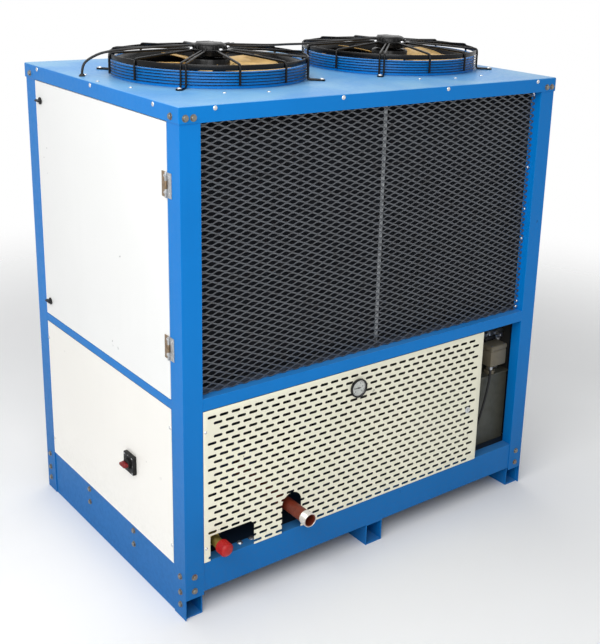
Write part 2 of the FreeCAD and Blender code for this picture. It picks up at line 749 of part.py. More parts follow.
# Control box behind the door, open to the door, with its switchgear
body = new_body("control_box")
box_front = -half_wide + 66
box_back = box_front + 150
box_y = 320
box_low = coil_low
box_high = coil_low + 520
pad(body, "XY", box_low, box_high, rect((box_front, box_back), (-box_y, box_y)))
pocket(body, "YZ", box_front - 1, box_back - panel_sheet,
       rect((-box_y + panel_sheet, box_y - panel_sheet), (box_low + panel_sheet, box_high - panel_sheet)))
finish("control_box", body)
gear = []
plate_x = box_back - panel_sheet
gear_plan = ((330, ((-250, 54), (-190, 54), (-130, 54), (-40, 90), (70, 90))), (110, ((-250, 180), (-40, 76), (60, 150))))
for up, items in gear_plan:
    gear.append(block("gear_rail", (plate_x - 8, plate_x), (-285, 285), (box_low + up - 17, box_low + up + 18)))
    for y, long in items:
        gear.append(block("gear_case", (plate_x - 78, plate_x - 8), (y, y + long), (box_low + up - 42, box_low + up + 43)))
finish("control_gear", fuse("control_gear", gear))


# Fan shrouds: a bell mouth around each impeller, standing in the lid's hole
bells = []
for fan_x in (fan_left, fan_right):
    body = new_body("shroud")
    out = throat_rad + shroud_sheet
    bell = [(throat_rad, -30), (out, -30), (out, 0), (shroud_rad, 0), (shroud_rad, shroud_high), (shroud_rad - 12, shroud_high),
            (throat_rad + 6, shroud_high - 14), (throat_rad, shroud_high - 30)]
    revolve(body, "XZ", "Z", bell)
    place(body, (fan_x, 0, tall))
    bells.append(body)
finish("fan_shrouds", group("fan_shrouds", bells))

# Wire guards: twelve spokes bent down the side, four of them carried on to bolted feet, and the rings
spoke_low = 10
mount_rad = motor_rad + 18
centre_high = guard_high + guard_rise


def guard(label, fan_x):
    spokes = new_body("spokes")
    out = guard_rad
    spoke = [(motor_rad + 4, centre_high - wire), (mount_rad, centre_high - wire), (out - wire, guard_high - wire - 2),
             (out - wire, spoke_low), (out, spoke_low), (out, guard_high - 4), (out - 4, guard_high),
             (mount_rad, centre_high), (motor_rad + 4, centre_high)]
    arm = pad(spokes, "XZ", -wire / 2, wire / 2, spoke)
    ring_of(spokes, [arm], 12)
    spokes.Placement = FreeCAD.Placement(Vector(), Rotation(Vector(0, 0, 1), 15))
    feet = new_body("feet")
    inner = guard_rad - wire
    leg = [(inner, 0), (foot_rad, 0), (foot_rad, steel), (guard_rad, steel), (guard_rad, 34), (inner, 34)]
    foot = pad(feet, "XZ", -9, 9, leg)
    ring_of(feet, [foot], 4)
    feet.Placement = FreeCAD.Placement(Vector(), Rotation(Vector(0, 0, 1), 45))
    parts = [spokes, feet]
    for low in (guard_high - 11, 53, 42, 31, 20, spoke_low):
        radius = guard_rad + 1
        parts.append(cut("hoop", prism("hoop_out", "Z", (0, 0), 24, radius, low, low + wire),
                         [prism("hoop_in", "Z", (0, 0), 24, radius - wire - 1, low - 1, low + wire + 1)]))
    parts.append(cut("mount", prism("mount_out", "Z", (0, 0), 24, mount_rad, centre_high - wire, centre_high - 0.5),
                     [prism("mount_in", "Z", (0, 0), 24, motor_rad + 1.5, centre_high - wire - 1, centre_high + 1)]))
    found = fuse(label, parts)
    place(found, (fan_x, 0, tall))
    return finish(label, found)


guard("fan_guard_left", fan_left)
guard("fan_guard_right", fan_right)

# Outer-rotor motors: the ribbed stator hangs from the guard's middle ring, the hub turns below it
motors = []
for fan_x in (fan_left, fan_right):
    drum = new_body("drum")
    core = motor_rad - 5
    seat = centre_high - wire
    revolve(drum, "XZ", "Z", [(shaft_rad + shaft_play, motor_low), (core, motor_low), (core, seat - 5), (mount_rad, seat - 5),
                              (mount_rad, seat), (core, seat), (core, motor_top), (0, motor_top), (0, motor_top - 12),
                              (shaft_rad + shaft_play, motor_top - 12)])
    rib = pad(drum, "XY", seat, motor_top - 3, rect((core - 1, motor_rad), (-2.5, 2.5)))
    ring_of(drum, [rib], 16)
    place(drum, (fan_x, 0, tall))
    motors.append(drum)
finish("fan_motors", group("fan_motors", motors))

# Impellers: five broad twisted blades on a hub can, turning on a shaft in the motor
blade_low = 6


def blade_section(body, lift, chord, pitch, thick):
    turn = math.radians(pitch)
    along = (math.cos(turn), math.sin(turn))
    corners = []
    for a, b in ((-1, -1), (1, -1), (1, 1), (-1, 1)):
        corners.append((a * chord / 2 * along[0] - b * thick / 2 * along[1],
                        blade_low + a * chord / 2 * along[1] + b * thick / 2 * along[0]))
    return sketch(body, "YZ", lift, [corners])


def impeller(label, fan_x):
    blades = new_body("blades")
    loft = blades.newObject("PartDesign::AdditiveLoft", "Blade")
    loft.Profile = blade_section(blades, hub_rad - 4, 104, 34, 3)
    loft.Sections = [blade_section(blades, (hub_rad + blade_rad) / 2, 168, 27, 2.5),
                     blade_section(blades, blade_rad + 8, 206, 21, 2)]
    blades.Tip = loft
    doc.recompute()
    ring_of(blades, [loft], 5)
    sweep = fresh("Part::Common", "Swept")
    sweep.Base = blades
    sweep.Tool = rod("tip_circle", "Z", (0, 0), blade_rad, -60, motor_low - 6)
    hub = fuse("hub", [rod("can", "Z", (0, 0), hub_rad, -38, motor_low - 3),
                       rod("shaft", "Z", (0, 0), shaft_rad, motor_low - 3, motor_top - 13)])
    found = fuse(label, [hub, sweep])
    place(found, (fan_x, 0, tall))
    return finish(label, found)


impeller("impeller_left", fan_left)
impeller("impeller_right", fan_right)


def bent(name, points, radius, bends):
    """A round pipe along straight runs joined by tangent arcs; it reads its points from the sheet."""
    spots = [Vector(*[as_size(value).value for value in spot]) for spot in points]
    edges = []
    start = spots[0]
    length = 0.0
    for k in range(1, len(spots) - 1):
        before = (spots[k - 1] - spots[k]).normalize()
        after = (spots[k + 1] - spots[k]).normalize()
        turn = math.pi - before.getAngle(after)
        bend = bends[k - 1] if isinstance(bends, (list, tuple)) else bends
        if bend is None:
            shorter = min((spots[k - 1] - spots[k]).Length, (spots[k + 1] - spots[k]).Length)
            bend = 0.45 * shorter / math.tan(turn / 2)
        back = bend * math.tan(turn / 2)
        first = spots[k] + before * back
        last = spots[k] + after * back
        middle = (before + after).normalize()
        top = spots[k] + middle * (bend / math.cos(turn / 2) - bend)
        edges.append(Part.LineSegment(start, first).toShape())
        edges.append(Part.Arc(first, top, last).toShape())
        length += (first - start).Length + bend * turn
        start = last
    edges.append(Part.LineSegment(start, spots[-1]).toShape())
    length += (spots[-1] - start).Length
    path = Part.Wire(edges)
    direction = spots[1] - spots[0]
    width = as_size(radius).value
    circle = Part.Wire([Part.Circle(spots[0], direction, width).toShape()])
    tube = path.makePipeShell([circle], True, True)
    share = tube.Volume / (math.pi * width ** 2 * length)
    print(name, "length", round(length, 1), "volume share", round(share, 4))
    found = fresh("Part::Feature", name)
    found.Shape = tube
    return found


# Motor leads: clipped along the spokes, over the rim, down to the lid and across to the other fan
lead = 4
lead_high = tall + centre_high + lead + 1
rim_up = tall + guard_high + lead + 1
lead_in = motor_rad - 11.2
leads = [
    bent("lead_left", [(fan_left - lead_in, 27, lead_high + 3), (fan_left - 150, 66, lead_high - 3),
                       (fan_left - 308, 107, rim_up - 2), (fan_left - 356, 119, rim_up - 22),
                       (fan_left - 384, 125, tall + 34), (fan_left - 384, 125, tall)], lead,
         [220, None, None, None]),
    bent("lead_right", [(fan_right - lead_in, 27, lead_high + 3), (fan_right - 150, 66, lead_high - 6),
                        (fan_right - 308, 102, rim_up - 4.5), (fan_right - 380, 108, rim_up - 4),
                        (fan_left + 316, 104, rim_up - 4.5),
                        (fan_left + 150, 66, lead_high - 6), (fan_left + lead_in, 27, lead_high + 3)], lead, None)]
finish("motor_leads", group("motor_leads", leads))

# Outlet pipe with its threaded end, carried by the pump
pump_y = -190
finish("outlet_pipe", cut("outlet_pipe", fuse("outlet_solid", [
    rod("run", "Y", (outlet_at, outlet_up), outlet_rad, -half_deep - outlet_out + collar_long - 1, pump_y),
    rod("collar", "Y", (outlet_at, outlet_up), collar_rad, -half_deep - outlet_out, -half_deep - outlet_out + collar_long),
    rod("socket", "Y", (outlet_at, outlet_up), outlet_rad + 5, pump_y - 36, pump_y)]), [
    rod("bore", "Y", (outlet_at, outlet_up), outlet_bore, -half_deep - outlet_out - 1, pump_y - 6)]))

# Inlet fitting: a brass nipple with a hexagon, its inner run, and the red cap on its end
fit_end = -half_deep - 22
inner_end = -250
finish("inlet_fitting", cut("inlet_fitting", fuse("inlet_solid", [
    rod("nipple", "Y", (inlet_at, inlet_up), inlet_rad, fit_end - 30, -half_deep + 52),
    prism("hexagon", "Y", (inlet_at, inlet_up), 6, inlet_rad + 7, -half_deep + 30, -half_deep + 58),
    rod("run", "Y", (inlet_at, inlet_up), inlet_rad - 2, -half_deep + 58, inner_end),
    rod("flange", "Y", (inlet_at, inlet_up), inlet_rad + 12, inner_end, inner_end + 6),
    block("bracket", (inlet_at - 30, inlet_at + 30), (inner_end - 4, inner_end), (rail_top - steel, inlet_up))]), [
    rod("bore", "Y", (inlet_at, inlet_up), inlet_rad - 5, fit_end - 31, inner_end - 20)]))
cap_end = fit_end - cap_long + 4
cap = fuse("cap_solid", [
    rod("cap_wall", "Y", (inlet_at, inlet_up), cap_rad, cap_end + 4, fit_end + 4),
    cone("cap_edge", "Y", (inlet_at, inlet_up), cap_rad - 4, cap_rad, cap_end, cap_end + 4)])
finish("fitting_cap", cut("fitting_cap", cap, [
    rod("cap_bore", "Y", (inlet_at, inlet_up), inlet_rad + 0.1, fit_end - 30 - play, fit_end + 5)]))

# Water side: pump, tank and evaporator on the tray
pump_low = tray_top
finish("pump", fuse("pump", [
    block("pump_foot", (outlet_at - 62, outlet_at + 62), (pump_y + 40, pump_y + 300), (pump_low, pump_low + 12)),
    block("pump_saddle", (outlet_at - 36, outlet_at + 36), (pump_y + 110, pump_y + 280), (pump_low + 12, outlet_up - 30)),
    rod("volute", "Y", (outlet_at, outlet_up), 74, pump_y, pump_y + 66),
    rod("adapter", "Y", (outlet_at, outlet_up), 50, pump_y + 66, pump_y + 92),
    rod("pump_motor", "Y", (outlet_at, outlet_up), 64, pump_y + 92, pump_y + 290),
    rod("cowl", "Y", (outlet_at, outlet_up), 58, pump_y + 290, pump_y + 330),
    block("terminal", (outlet_at - 34, outlet_at + 34), (pump_y + 140, pump_y + 220), (outlet_up + 50, outlet_up + 92))]))

tank_left = pan_right - 250
tank_right = half_wide - 36
tank_front = -half_deep + 77
tank_back = 240
tank_top = 460
body = new_body("water_tank")
pad(body, "XY", tray_top, tank_top, rect((tank_left, tank_right), (tank_front, tank_back)))
pocket(body, "XY", tray_top + 6, tank_top, rect((tank_left + 6, tank_right - 6), (tank_front + 6, tank_back - 6)))
pad(body, "XY", tank_top, tank_top + 6, rect((tank_left - 8, tank_right + 4), (tank_front - 6, tank_back + 6)))
finish("water_tank", body)
lid_top = tank_top + 6

finish("plate_evaporator", fuse("plate_evaporator", [
    block("plates", (-60, 110), (120, 236), (tray_top + 30, tray_top + 470)),
    block("stand", (-50, 100), (128, 228), (tray_top, tray_top + 30)),
    rod("port_low", "Y", (-28, tray_top + 70), 16, 96, 120),
    rod("port_high", "Y", (-28, tray_top + 430), 16, 96, 120),
    rod("port_hot", "Y", (78, tray_top + 430), 12, 96, 120),
    rod("port_cold", "Y", (78, tray_top + 70), 12, 96, 120)]))

comp_x = -60
comp_y = -170
comp_low = tray_top + 18
shell = new_body("shell")
revolve(shell, "XZ", "Z", [(0, 0), (96, 0), (104, 10), (104, 240), (96, 270), (70, 296), (0, 306)])
place(shell, (comp_x, comp_y, comp_low))
finish("compressor", fuse("compressor", [
    shell, block("comp_base", (comp_x - 115, comp_x + 115), (comp_y - 115, comp_y + 115), (comp_low - 4, comp_low + 2)),
    rod("foot_a", "Z", (comp_x - 95, comp_y - 95), 14, tray_top, comp_low), rod("foot_b", "Z", (comp_x + 95, comp_y - 95), 14, tray_top, comp_low),
    rod("foot_c", "Z", (comp_x - 95, comp_y + 95), 14, tray_top, comp_low), rod("foot_d", "Z", (comp_x + 95, comp_y + 95), 14, tray_top, comp_low),
    block("comp_box", (comp_x + 90, comp_x + 150), (comp_y - 45, comp_y + 45), (comp_low + 150, comp_low + 240))]))

# Copper lines with the liquid receiver: suction, hot gas up to the coils and liquid back down
comp_top = comp_low + 306
circuit = [
    bent("suction", [(comp_x + 40, comp_y, comp_top - 3), (comp_x + 40, comp_y, comp_top + 60), (78, comp_y, comp_top + 60),
                     (78, 60, comp_top + 60), (78, 60, tray_top + 430), (78, 96, tray_top + 430)], 10, [20, 20, 24, 20, 15]),
    bent("hot_gas", [(comp_x - 40, comp_y, comp_top - 3), (comp_x - 40, comp_y, 660), (comp_x - 40, 330, 660),
                     (comp_x - 40, 330, coil_low - deck_sheet)], 8, [40, 40, 30]),
    bent("liquid", [(78, 96, tray_top + 70), (78, 20, tray_top + 70), (190, 20, tray_top + 70), (190, 150, tray_top + 70)],
         6, [20, 20]),
    fuse("receiver", [rod("receiver_shell", "Z", (190, 190), 40, tray_top + 20, tray_top + 330),
                      rod("receiver_foot", "Z", (190, 190), 30, tray_top, tray_top + 20)])]
finish("refrigerant_circuit", group("refrigerant_circuit", circuit))

# Open bay: riser with a ball valve and a level switch box on the tank
riser_x = tank_right - 26
riser_y = tank_front + 44
valve_up = 612
stem_x = riser_x - 14
valve = fuse("valve_solid", [
    rod("riser", "Z", (riser_x, riser_y), 10, lid_top, valve_up),
    rod("riser_nut", "Z", (riser_x, riser_y), 15, lid_top, lid_top + 14),
    rod("valve_body", "X", (riser_y, valve_up), 17, riser_x - 44, riser_x + 24),
    prism("valve_nut", "X", (riser_y, valve_up), 6, 20, riser_x - 60, riser_x - 44),
    rod("valve_tail", "X", (riser_y, valve_up), 11, riser_x - 110, riser_x - 60),
    rod("valve_neck", "Y", (stem_x, valve_up), 8, riser_y - 26, riser_y)])
finish("ball_valve", cut("ball_valve", valve, [
    rod("stem_bore", "Y", (stem_x, valve_up), 4 + fit_play, riser_y - 27, riser_y - 12)]))
finish("valve_lever", fuse("valve_lever", [
    rod("stem", "Y", (stem_x, valve_up), 4, riser_y - 34, riser_y - 13),
    block("lever", (stem_x - 82, stem_x + 10), (riser_y - 34, riser_y - 30), (valve_up - 8, valve_up + 8))]))
box_x = riser_x - 96
box_y = tank_front - 26
box_low = lid_top + 42
gland_x = box_x + 12
gland_y = box_y + 11
gland_low = box_low - 14
finish("level_box", fuse("level_box", [
    rod("neck", "Z", (box_x + 40, box_y + 42), 14, lid_top, box_low + 3),
    prism("neck_nut", "Z", (box_x + 40, box_y + 42), 6, 22, lid_top, lid_top + 14),
    block("box", (box_x, box_x + 84), (box_y, box_y + 60), (box_low, box_low + 83)),
    rod("gland", "Z", (gland_x, gland_y), 8, gland_low, box_low)]))
cable_rad = 4.5
cable_low = rail_top + cable_rad + play
finish("bay_cable", bent("bay_cable", [
    (gland_x, gland_y, gland_low), (gland_x, gland_y, gland_low - 20), (gland_x - 4, gland_y, gland_low - 58),
    (gland_x - 14, gland_y, gland_low - 104), (gland_x - 27, gland_y, gland_low - 152),
    (gland_x - 43, gland_y + 1, gland_low - 202), (gland_x - 62, gland_y + 3, gland_low - 250),
    (gland_x - 86, gland_y + 5, cable_low + 18), (gland_x - 132, gland_y + 6, cable_low),
    (gland_x - 206, gland_y + 3, cable_low + 1), (gland_x - 286, gland_y + 7, cable_low),
    (gland_x - 406, gland_y + 7, cable_low), (gland_x - 456, gland_y + 58, cable_low - 1),
    (gland_x - 488, gland_y + 152, cable_low - 2), (comp_x + 156, comp_y - 46, cable_low + 6),
    (comp_x + 124, comp_y, cable_low + 60), (comp_x + 124, comp_y, comp_low + 150)], cable_rad, None))

# Frame bolts: hexagon heads on the posts, the skids' upstands and the lid's corners
bolts = []


def bolt(axis, side, wall, a, b, radius=9, high=6):
    ends = span(side, wall, -high, 0)
    bolts.append(prism("bolt", axis, (a, b), 6, radius, ends[0], ends[1]))


for side in (-1, 1):
    for end in (-1, 1):
        for up in (146, 97):
            bolt("Y", end, half_deep, side * (half_wide - 32), up)
        for up in (146, 91, 47):
            bolt("X", side, half_wide, end * (half_deep - 30), up)
        for off in (20, 45):
            bolt("Y", end, deep / 2, side * (wide / 2 - off), flange_low + 16)
        bolt("X", side, wide / 2, end * (deep / 2 - 45), flange_low + 17)
    for y in (156, -175):
        for up in (148, 98):
            bolt("X", side, half_wide - steel, y, up)
finish("frame_bolts", group("frame_bolts", bolts))

# Sheet screws: small round heads on the lid, the guards' feet, the panels and the mesh
screws = []


def screw(axis, a, b, low, high, radius=7):
    screws.append(prism("screw", axis, (a, b), 8, radius, low, high))


for end in (-1, 1):
    lid_side = span(end, deep / 2, -3, 0)
    for x in (-642, -199, 231, 660):
        screw("Y", x, tall - 10, lid_side[0], lid_side[1])
    flank = span(end, wide / 2, -3, 0)
    for y in (414, 14, -379):
        screw("X", y, tall - 12, flank[0], flank[1])
around_left = (157, 180, 203, 245, 265, 65, 95, 115)
around_right = (245, 265, 285, 65, 95, 115)
for fan_x, turns in ((fan_left, around_left), (fan_right, around_right)):
    for turn in turns:
        angle = math.radians(turn)
        screw("Z", fan_x + 392 * math.cos(angle), 392 * math.sin(angle), tall, tall + 3, 6)
    for turn in (45, 135, 225, 315):
        angle = math.radians(turn)
        screw("Z", fan_x + (foot_rad - 12) * math.cos(angle), (foot_rad - 12) * math.sin(angle),
              tall + steel, tall + steel + 6, 9)
for side, ups in ((-1, (230, 630)), (1, (230, 630, 790, 1480))):
    outside = span(side, half_wide, -2.5, 0)
    for end in (-1, 1):
        for up in ups:
            screw("X", end * (side_end - 9), up, outside[0], outside[1], 6)
for end in (-1, 1):
    outside = span(end, half_deep + 0 * steel, mesh_set - 2.5, mesh_set)
    for side in (-1, 1):
        for up in (1540, 1125, 770):
            screw("Y", side * (opening - 6), up, outside[0], outside[1], 5)
panel_front = span(-1, half_deep, -2.5, 0)
for up in (625, 230):
    screw("Y", pan_left + 8, up, panel_front[0], panel_front[1], 5)
panel_rear = span(1, half_deep, -2.5, 0)
for side in (-1, 1):
    for up in (640, 235):
        screw("Y", side * (opening - 9), up, panel_rear[0], panel_rear[1], 6)
finish("sheet_screws", group("sheet_screws", screws))

doc.recompute()
failed = [thing.Name for thing in doc.Objects if "Invalid" in thing.State or "Error" in thing.State]
if failed:
    raise RuntimeError(f"these objects failed: {failed}")
labels = [thing.Label for thing in nodes]
if len(set(labels)) != len(labels) or len(labels) > 60:
    raise RuntimeError(f"{len(labels)} nodes, {len(set(labels))} names")
for thing in nodes:
    if thing.Shape.isNull() or not thing.Shape.isValid():
        raise RuntimeError(f"{thing.Label} has no valid shape")
os.makedirs("parts", exist_ok=True)
for thing in nodes:
    thing.Shape.exportStep(f"parts/{thing.Label}.step")
print(len(nodes), "nodes", sum(len(thing.Shape.Solids) for thing in nodes), "solids")
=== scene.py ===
import json
from math import cos, pi, radians, sin, tau

import bmesh
import bpy
from mathutils import Matrix, Vector

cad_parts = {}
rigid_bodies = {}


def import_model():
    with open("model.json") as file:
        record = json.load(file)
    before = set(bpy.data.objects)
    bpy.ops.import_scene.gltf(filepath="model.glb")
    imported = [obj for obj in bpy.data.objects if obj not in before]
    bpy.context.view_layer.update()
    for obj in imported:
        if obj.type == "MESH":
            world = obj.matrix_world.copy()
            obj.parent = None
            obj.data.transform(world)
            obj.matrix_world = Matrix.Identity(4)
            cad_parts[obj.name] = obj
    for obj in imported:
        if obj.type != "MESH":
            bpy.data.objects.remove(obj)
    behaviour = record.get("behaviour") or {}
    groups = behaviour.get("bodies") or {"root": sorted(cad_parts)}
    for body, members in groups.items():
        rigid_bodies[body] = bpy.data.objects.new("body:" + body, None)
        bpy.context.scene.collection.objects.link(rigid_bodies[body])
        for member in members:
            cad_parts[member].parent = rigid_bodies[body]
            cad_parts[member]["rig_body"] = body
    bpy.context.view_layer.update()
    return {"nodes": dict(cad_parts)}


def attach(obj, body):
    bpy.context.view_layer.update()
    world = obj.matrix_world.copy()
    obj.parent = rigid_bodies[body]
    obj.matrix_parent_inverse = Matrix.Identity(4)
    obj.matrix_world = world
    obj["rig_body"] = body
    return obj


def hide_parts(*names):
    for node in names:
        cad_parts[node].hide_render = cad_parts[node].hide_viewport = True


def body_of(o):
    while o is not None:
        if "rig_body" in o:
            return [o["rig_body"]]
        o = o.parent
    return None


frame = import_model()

# Looks of the air-cooled water chiller. Lengths are in millimetres while a piece is modelled; dress()
# brings it to metres. The front faces -Y, the door -X, and the fans stand on the lid at +Z.

bpy.ops.object.select_all(action="DESELECT")

tall = 1600
half_deep = 517
fan_left = -345
fan_right = 420
opening = 685.7
gauge_at = (-96, 623)
lock_at = (430, 400)
outlet = (-357, 267)
inlet = (-634, 235)


# Modelling


def only(piece):
    bpy.ops.object.select_all(action="DESELECT")
    piece.select_set(True)
    bpy.context.view_layer.objects.active = piece
    return piece


def edit(piece):
    only(piece)
    bpy.ops.object.mode_set(mode="EDIT")
    bpy.ops.mesh.select_mode(type="VERT")
    bpy.ops.mesh.select_all(action="SELECT")


def done(name=None):
    bpy.ops.object.mode_set(mode="OBJECT")
    piece = bpy.context.object
    if name:
        piece.name = name
    return piece


def pick(kind, test):
    """Selects the vertices, edges or faces of the open piece that pass a test."""
    bpy.ops.mesh.select_mode(type=kind)
    bpy.ops.mesh.select_all(action="DESELECT")
    shape = bmesh.from_edit_mesh(bpy.context.object.data)
    for part in getattr(shape, kind.lower() + "s"):
        if test(part):
            part.select_set(True)
    bmesh.update_edit_mesh(bpy.context.object.data)


def settle(name):
    """Gives the new primitive its name and applies its place."""
    piece = bpy.context.object
    piece.name = name
    bpy.ops.object.transform_apply(location=True, rotation=True, scale=True)
    return piece


def slab(name, along_x, along_y, along_z):
    low, high = (Vector(ends) for ends in zip(along_x, along_y, along_z))
    bpy.ops.mesh.primitive_cube_add(size=1, location=(low + high) / 2)
    bpy.context.object.scale = high - low
    return settle(name)


def spot(axis, at, along):
    return {"X": (along, *at), "Y": (at[0], along, at[1]), "Z": (*at, along)}[axis]


def drum(name, axis, at, radius, low, high, sides=48, turn=0.0):
    turns = {"X": (turn, pi / 2, 0), "Y": (pi / 2, turn, 0), "Z": (0, 0, turn)}
    bpy.ops.mesh.primitive_cylinder_add(vertices=sides, radius=radius, depth=high - low,
                                        location=spot(axis, at, (low + high) / 2), rotation=turns[axis])
    return settle(name)


def line(points):
    """A chain of edges, extruded from point to point; it stays open in edit mode."""
    bpy.ops.mesh.primitive_plane_add(size=1)
    edit(bpy.context.object)
    bpy.ops.mesh.merge(type="CENTER")
    bpy.ops.transform.translate(value=points[0])
    for start, end in zip(points, points[1:]):
        step = Vector(end) - Vector(start)
        bpy.ops.mesh.extrude_region_move(TRANSFORM_OT_translate={"value": step})
    bpy.ops.mesh.select_all(action="SELECT")


def push(step):
    bpy.ops.mesh.extrude_region_move(TRANSFORM_OT_translate={"value": step})


def outward():
    bpy.ops.mesh.select_all(action="SELECT")
    bpy.ops.mesh.remove_doubles(threshold=0.001)
    bpy.ops.mesh.normals_make_consistent(inside=False)


def plate(name, corners, step):
    """A flat face round the corners, extruded to a plate."""
    line([*corners, corners[0]])
    bpy.ops.mesh.remove_doubles(threshold=0.001)
    bpy.ops.mesh.edge_face_add()
    push(step)
    outward()
    return done(name)


def turned(name, axis, at, profile, steps=64, base=0):
    """A profile of (radius, place along the axis from its base) spun into a closed shape."""
    reach = Vector((0, 1, 0) if axis == "X" else (1, 0, 0))
    line([Vector(spot(axis, at, base + along)) + reach * radius for radius, along in profile])
    bpy.ops.mesh.spin(steps=steps, angle=tau, center=spot(axis, at, 0), axis=spot(axis, (0, 0), 1))
    outward()
    return done(name)


def shaped(piece, kind, **settings):
    only(piece)
    change = piece.modifiers.new(kind.title(), kind)
    for key, value in settings.items():
        setattr(change, key, value)
    bpy.ops.object.modifier_apply(modifier=change.name)
    return piece


def bevelled(piece, width, segments=2, angle=32):
    return shaped(piece, "BEVEL", width=width, segments=segments, limit_method="ANGLE",
                  angle_limit=radians(angle))


def arrayed(piece, count, step, merge=False):
    return shaped(piece, "ARRAY", count=count, use_relative_offset=False, use_constant_offset=True,
                  constant_offset_displace=step, use_merge_vertices=merge, merge_threshold=0.01)


def carved(piece, *tools, operation="DIFFERENCE"):
    for tool in tools:
        shaped(piece, "BOOLEAN", operation=operation, object=tool, solver="EXACT")
        bpy.data.objects.remove(tool)
    return piece


def copied(piece, matrix):
    """A copy with its own mesh, moved by a matrix."""
    twin = piece.copy()
    twin.data = piece.data.copy()
    twin.data.transform(matrix)
    bpy.context.scene.collection.objects.link(twin)
    return twin


def joined(name, parts):
    only(parts[0])
    for part in parts:
        part.select_set(True)
    bpy.ops.object.join()
    parts[0].name = name
    return parts[0]


def all_round(piece, centre, axis, count):
    """Copies of a piece round an axis, joined."""
    there = Matrix.Translation(centre)
    parts = [copied(piece, there @ Matrix.Rotation(tau * k / count, 4, axis) @ there.inverted())
             for k in range(count)]
    name = piece.name
    bpy.data.objects.remove(piece)
    return joined(name, parts)


def drawn(name, kind, points, radius, sides):
    """A round wire along a curve with the given control points; returns the piece and its run."""
    curve = bpy.data.curves.new(name, "CURVE")
    curve.dimensions = "3D"
    curve.bevel_depth = radius
    curve.bevel_resolution = sides
    curve.use_fill_caps = True
    run = curve.splines.new(kind)
    run.points.add(len(points) - 1)
    for knot, place in zip(run.points, points):
        knot.co = (*place, 1)
    piece = bpy.data.objects.new(name, curve)
    bpy.context.scene.collection.objects.link(piece)
    return piece, run


def tube(name, points, radius):
    """A bent wire or pipe, made a mesh."""
    only(drawn(name, "POLY", points, radius, 3)[0])
    bpy.ops.object.convert(target="MESH")
    return bpy.context.object


def cable(name, points, radius, node):
    """A cable on one smooth line; both of its ends go into the object."""
    points = [[along / 1000 for along in place] for place in points]
    piece, run = drawn(name, "NURBS", points, radius / 1000, 4)
    run.order_u = 3
    run.use_endpoint_u = True
    run.resolution_u = 8
    piece.data.materials.append(rubber.material)
    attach(piece, "cabinet")
    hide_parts(node)


def tapered(piece, limit, centre, shares):
    """Draws in the end of a handle that stands out beyond a limit."""
    edit(piece)
    pick("VERT", lambda vert: vert.co.x < limit)
    bpy.ops.transform.resize(value=shares, center_override=centre)
    return done()


def dress(piece, paint, slot, *nodes, body="cabinet", scale=0.001, angle=35, name=None):
    """Brings a finished piece to metres, smooths it, paints it and lets it ride on its body."""
    only(piece)
    piece.scale = (scale,) * 3
    bpy.ops.object.transform_apply(location=True, rotation=True, scale=True)
    bpy.ops.object.shade_smooth_by_angle(angle=radians(angle))
    piece.data.materials.clear()
    piece.data.materials.append(paint.material)
    if name:
        piece.name = name
    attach(piece, body)
    if nodes:
        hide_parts(*nodes)
    return piece


def merged_copy(node, name):
    source = frame["nodes"][node]
    piece = bpy.data.objects.new(name, source.data.copy())
    bpy.context.scene.collection.objects.link(piece)
    edit(piece)
    bpy.ops.mesh.customdata_custom_splitnormals_clear()
    bpy.ops.mesh.remove_doubles(threshold=0.00001)
    return piece


def softened(node, paint, slot, width=1.0, segments=2, angle=12, fold=0):
    """A CAD sheet or block with its edges rounded, in place of the node; its large faces stay flat."""
    piece = merged_copy(node, node + "_folded")
    bpy.ops.mesh.dissolve_limited(angle_limit=radians(1))
    if fold:
        pick("EDGE", lambda edge: all(vert.co.z > 1.5999 and (abs(vert.co.x) > 0.75 or abs(vert.co.y) > 0.515)
                                      for vert in edge.verts))
        bpy.ops.mesh.bevel(offset=fold / 1000, segments=4)
    done()
    bevelled(piece, width / 1000, segments)
    body = body_of(frame["nodes"][node])[0]
    return dress(piece, paint, slot, node, body=body, scale=1, angle=angle)


def loose_boxes(node):
    """The corners of each loose part of a CAD node, in millimetres."""
    merged_copy(node, "loose")
    bpy.ops.mesh.separate(type="LOOSE")
    done()
    boxes = []
    for part in list(bpy.context.selected_objects):
        corners = [Vector(corner) * 1000 for corner in part.bound_box]
        boxes.append([[end(c[k] for c in corners) for k in range(3)] for end in (min, max)])
        bpy.data.objects.remove(part)
    return sorted(boxes)


def heads_at(master, radius, height, boxes):
    """Copies of a screw head, which stands on the origin and faces +Z, on each box, facing outwards."""
    heads = []
    for low, high in boxes:
        size = [b - a for a, b in zip(low, high)]
        axis = size.index(min(size))
        middle = [(a + b) / 2 for a, b in zip(low, high)]
        side = 1 if axis == 2 or middle[axis] > 0 else -1
        foot = list(middle)
        foot[axis] = low[axis] if side > 0 else high[axis]
        facing = Vector([side if k == axis else 0 for k in range(3)])
        wide = max(size) / 2 / radius
        fit = Matrix.Diagonal((wide, wide, size[axis] / height, 1))
        spin = Matrix.Rotation(sum(middle) * 0.37, 4, "Z")
        turn = facing.to_track_quat("Z", "Y").to_matrix().to_4x4()
        heads.append(copied(master, Matrix.Translation(foot) @ turn @ fit @ spin))
    return heads


# Finishes


def shade(*color):
    """A colour as it is seen, 0 to 255, for a shader."""
    return (*[(c / 255 / 12.92) if c < 10 else ((c / 255 + 0.055) / 1.055) ** 2.4 for c in color], 1)


def dimmed(color, share):
    return (*[c * share for c in color[:3]], 1)


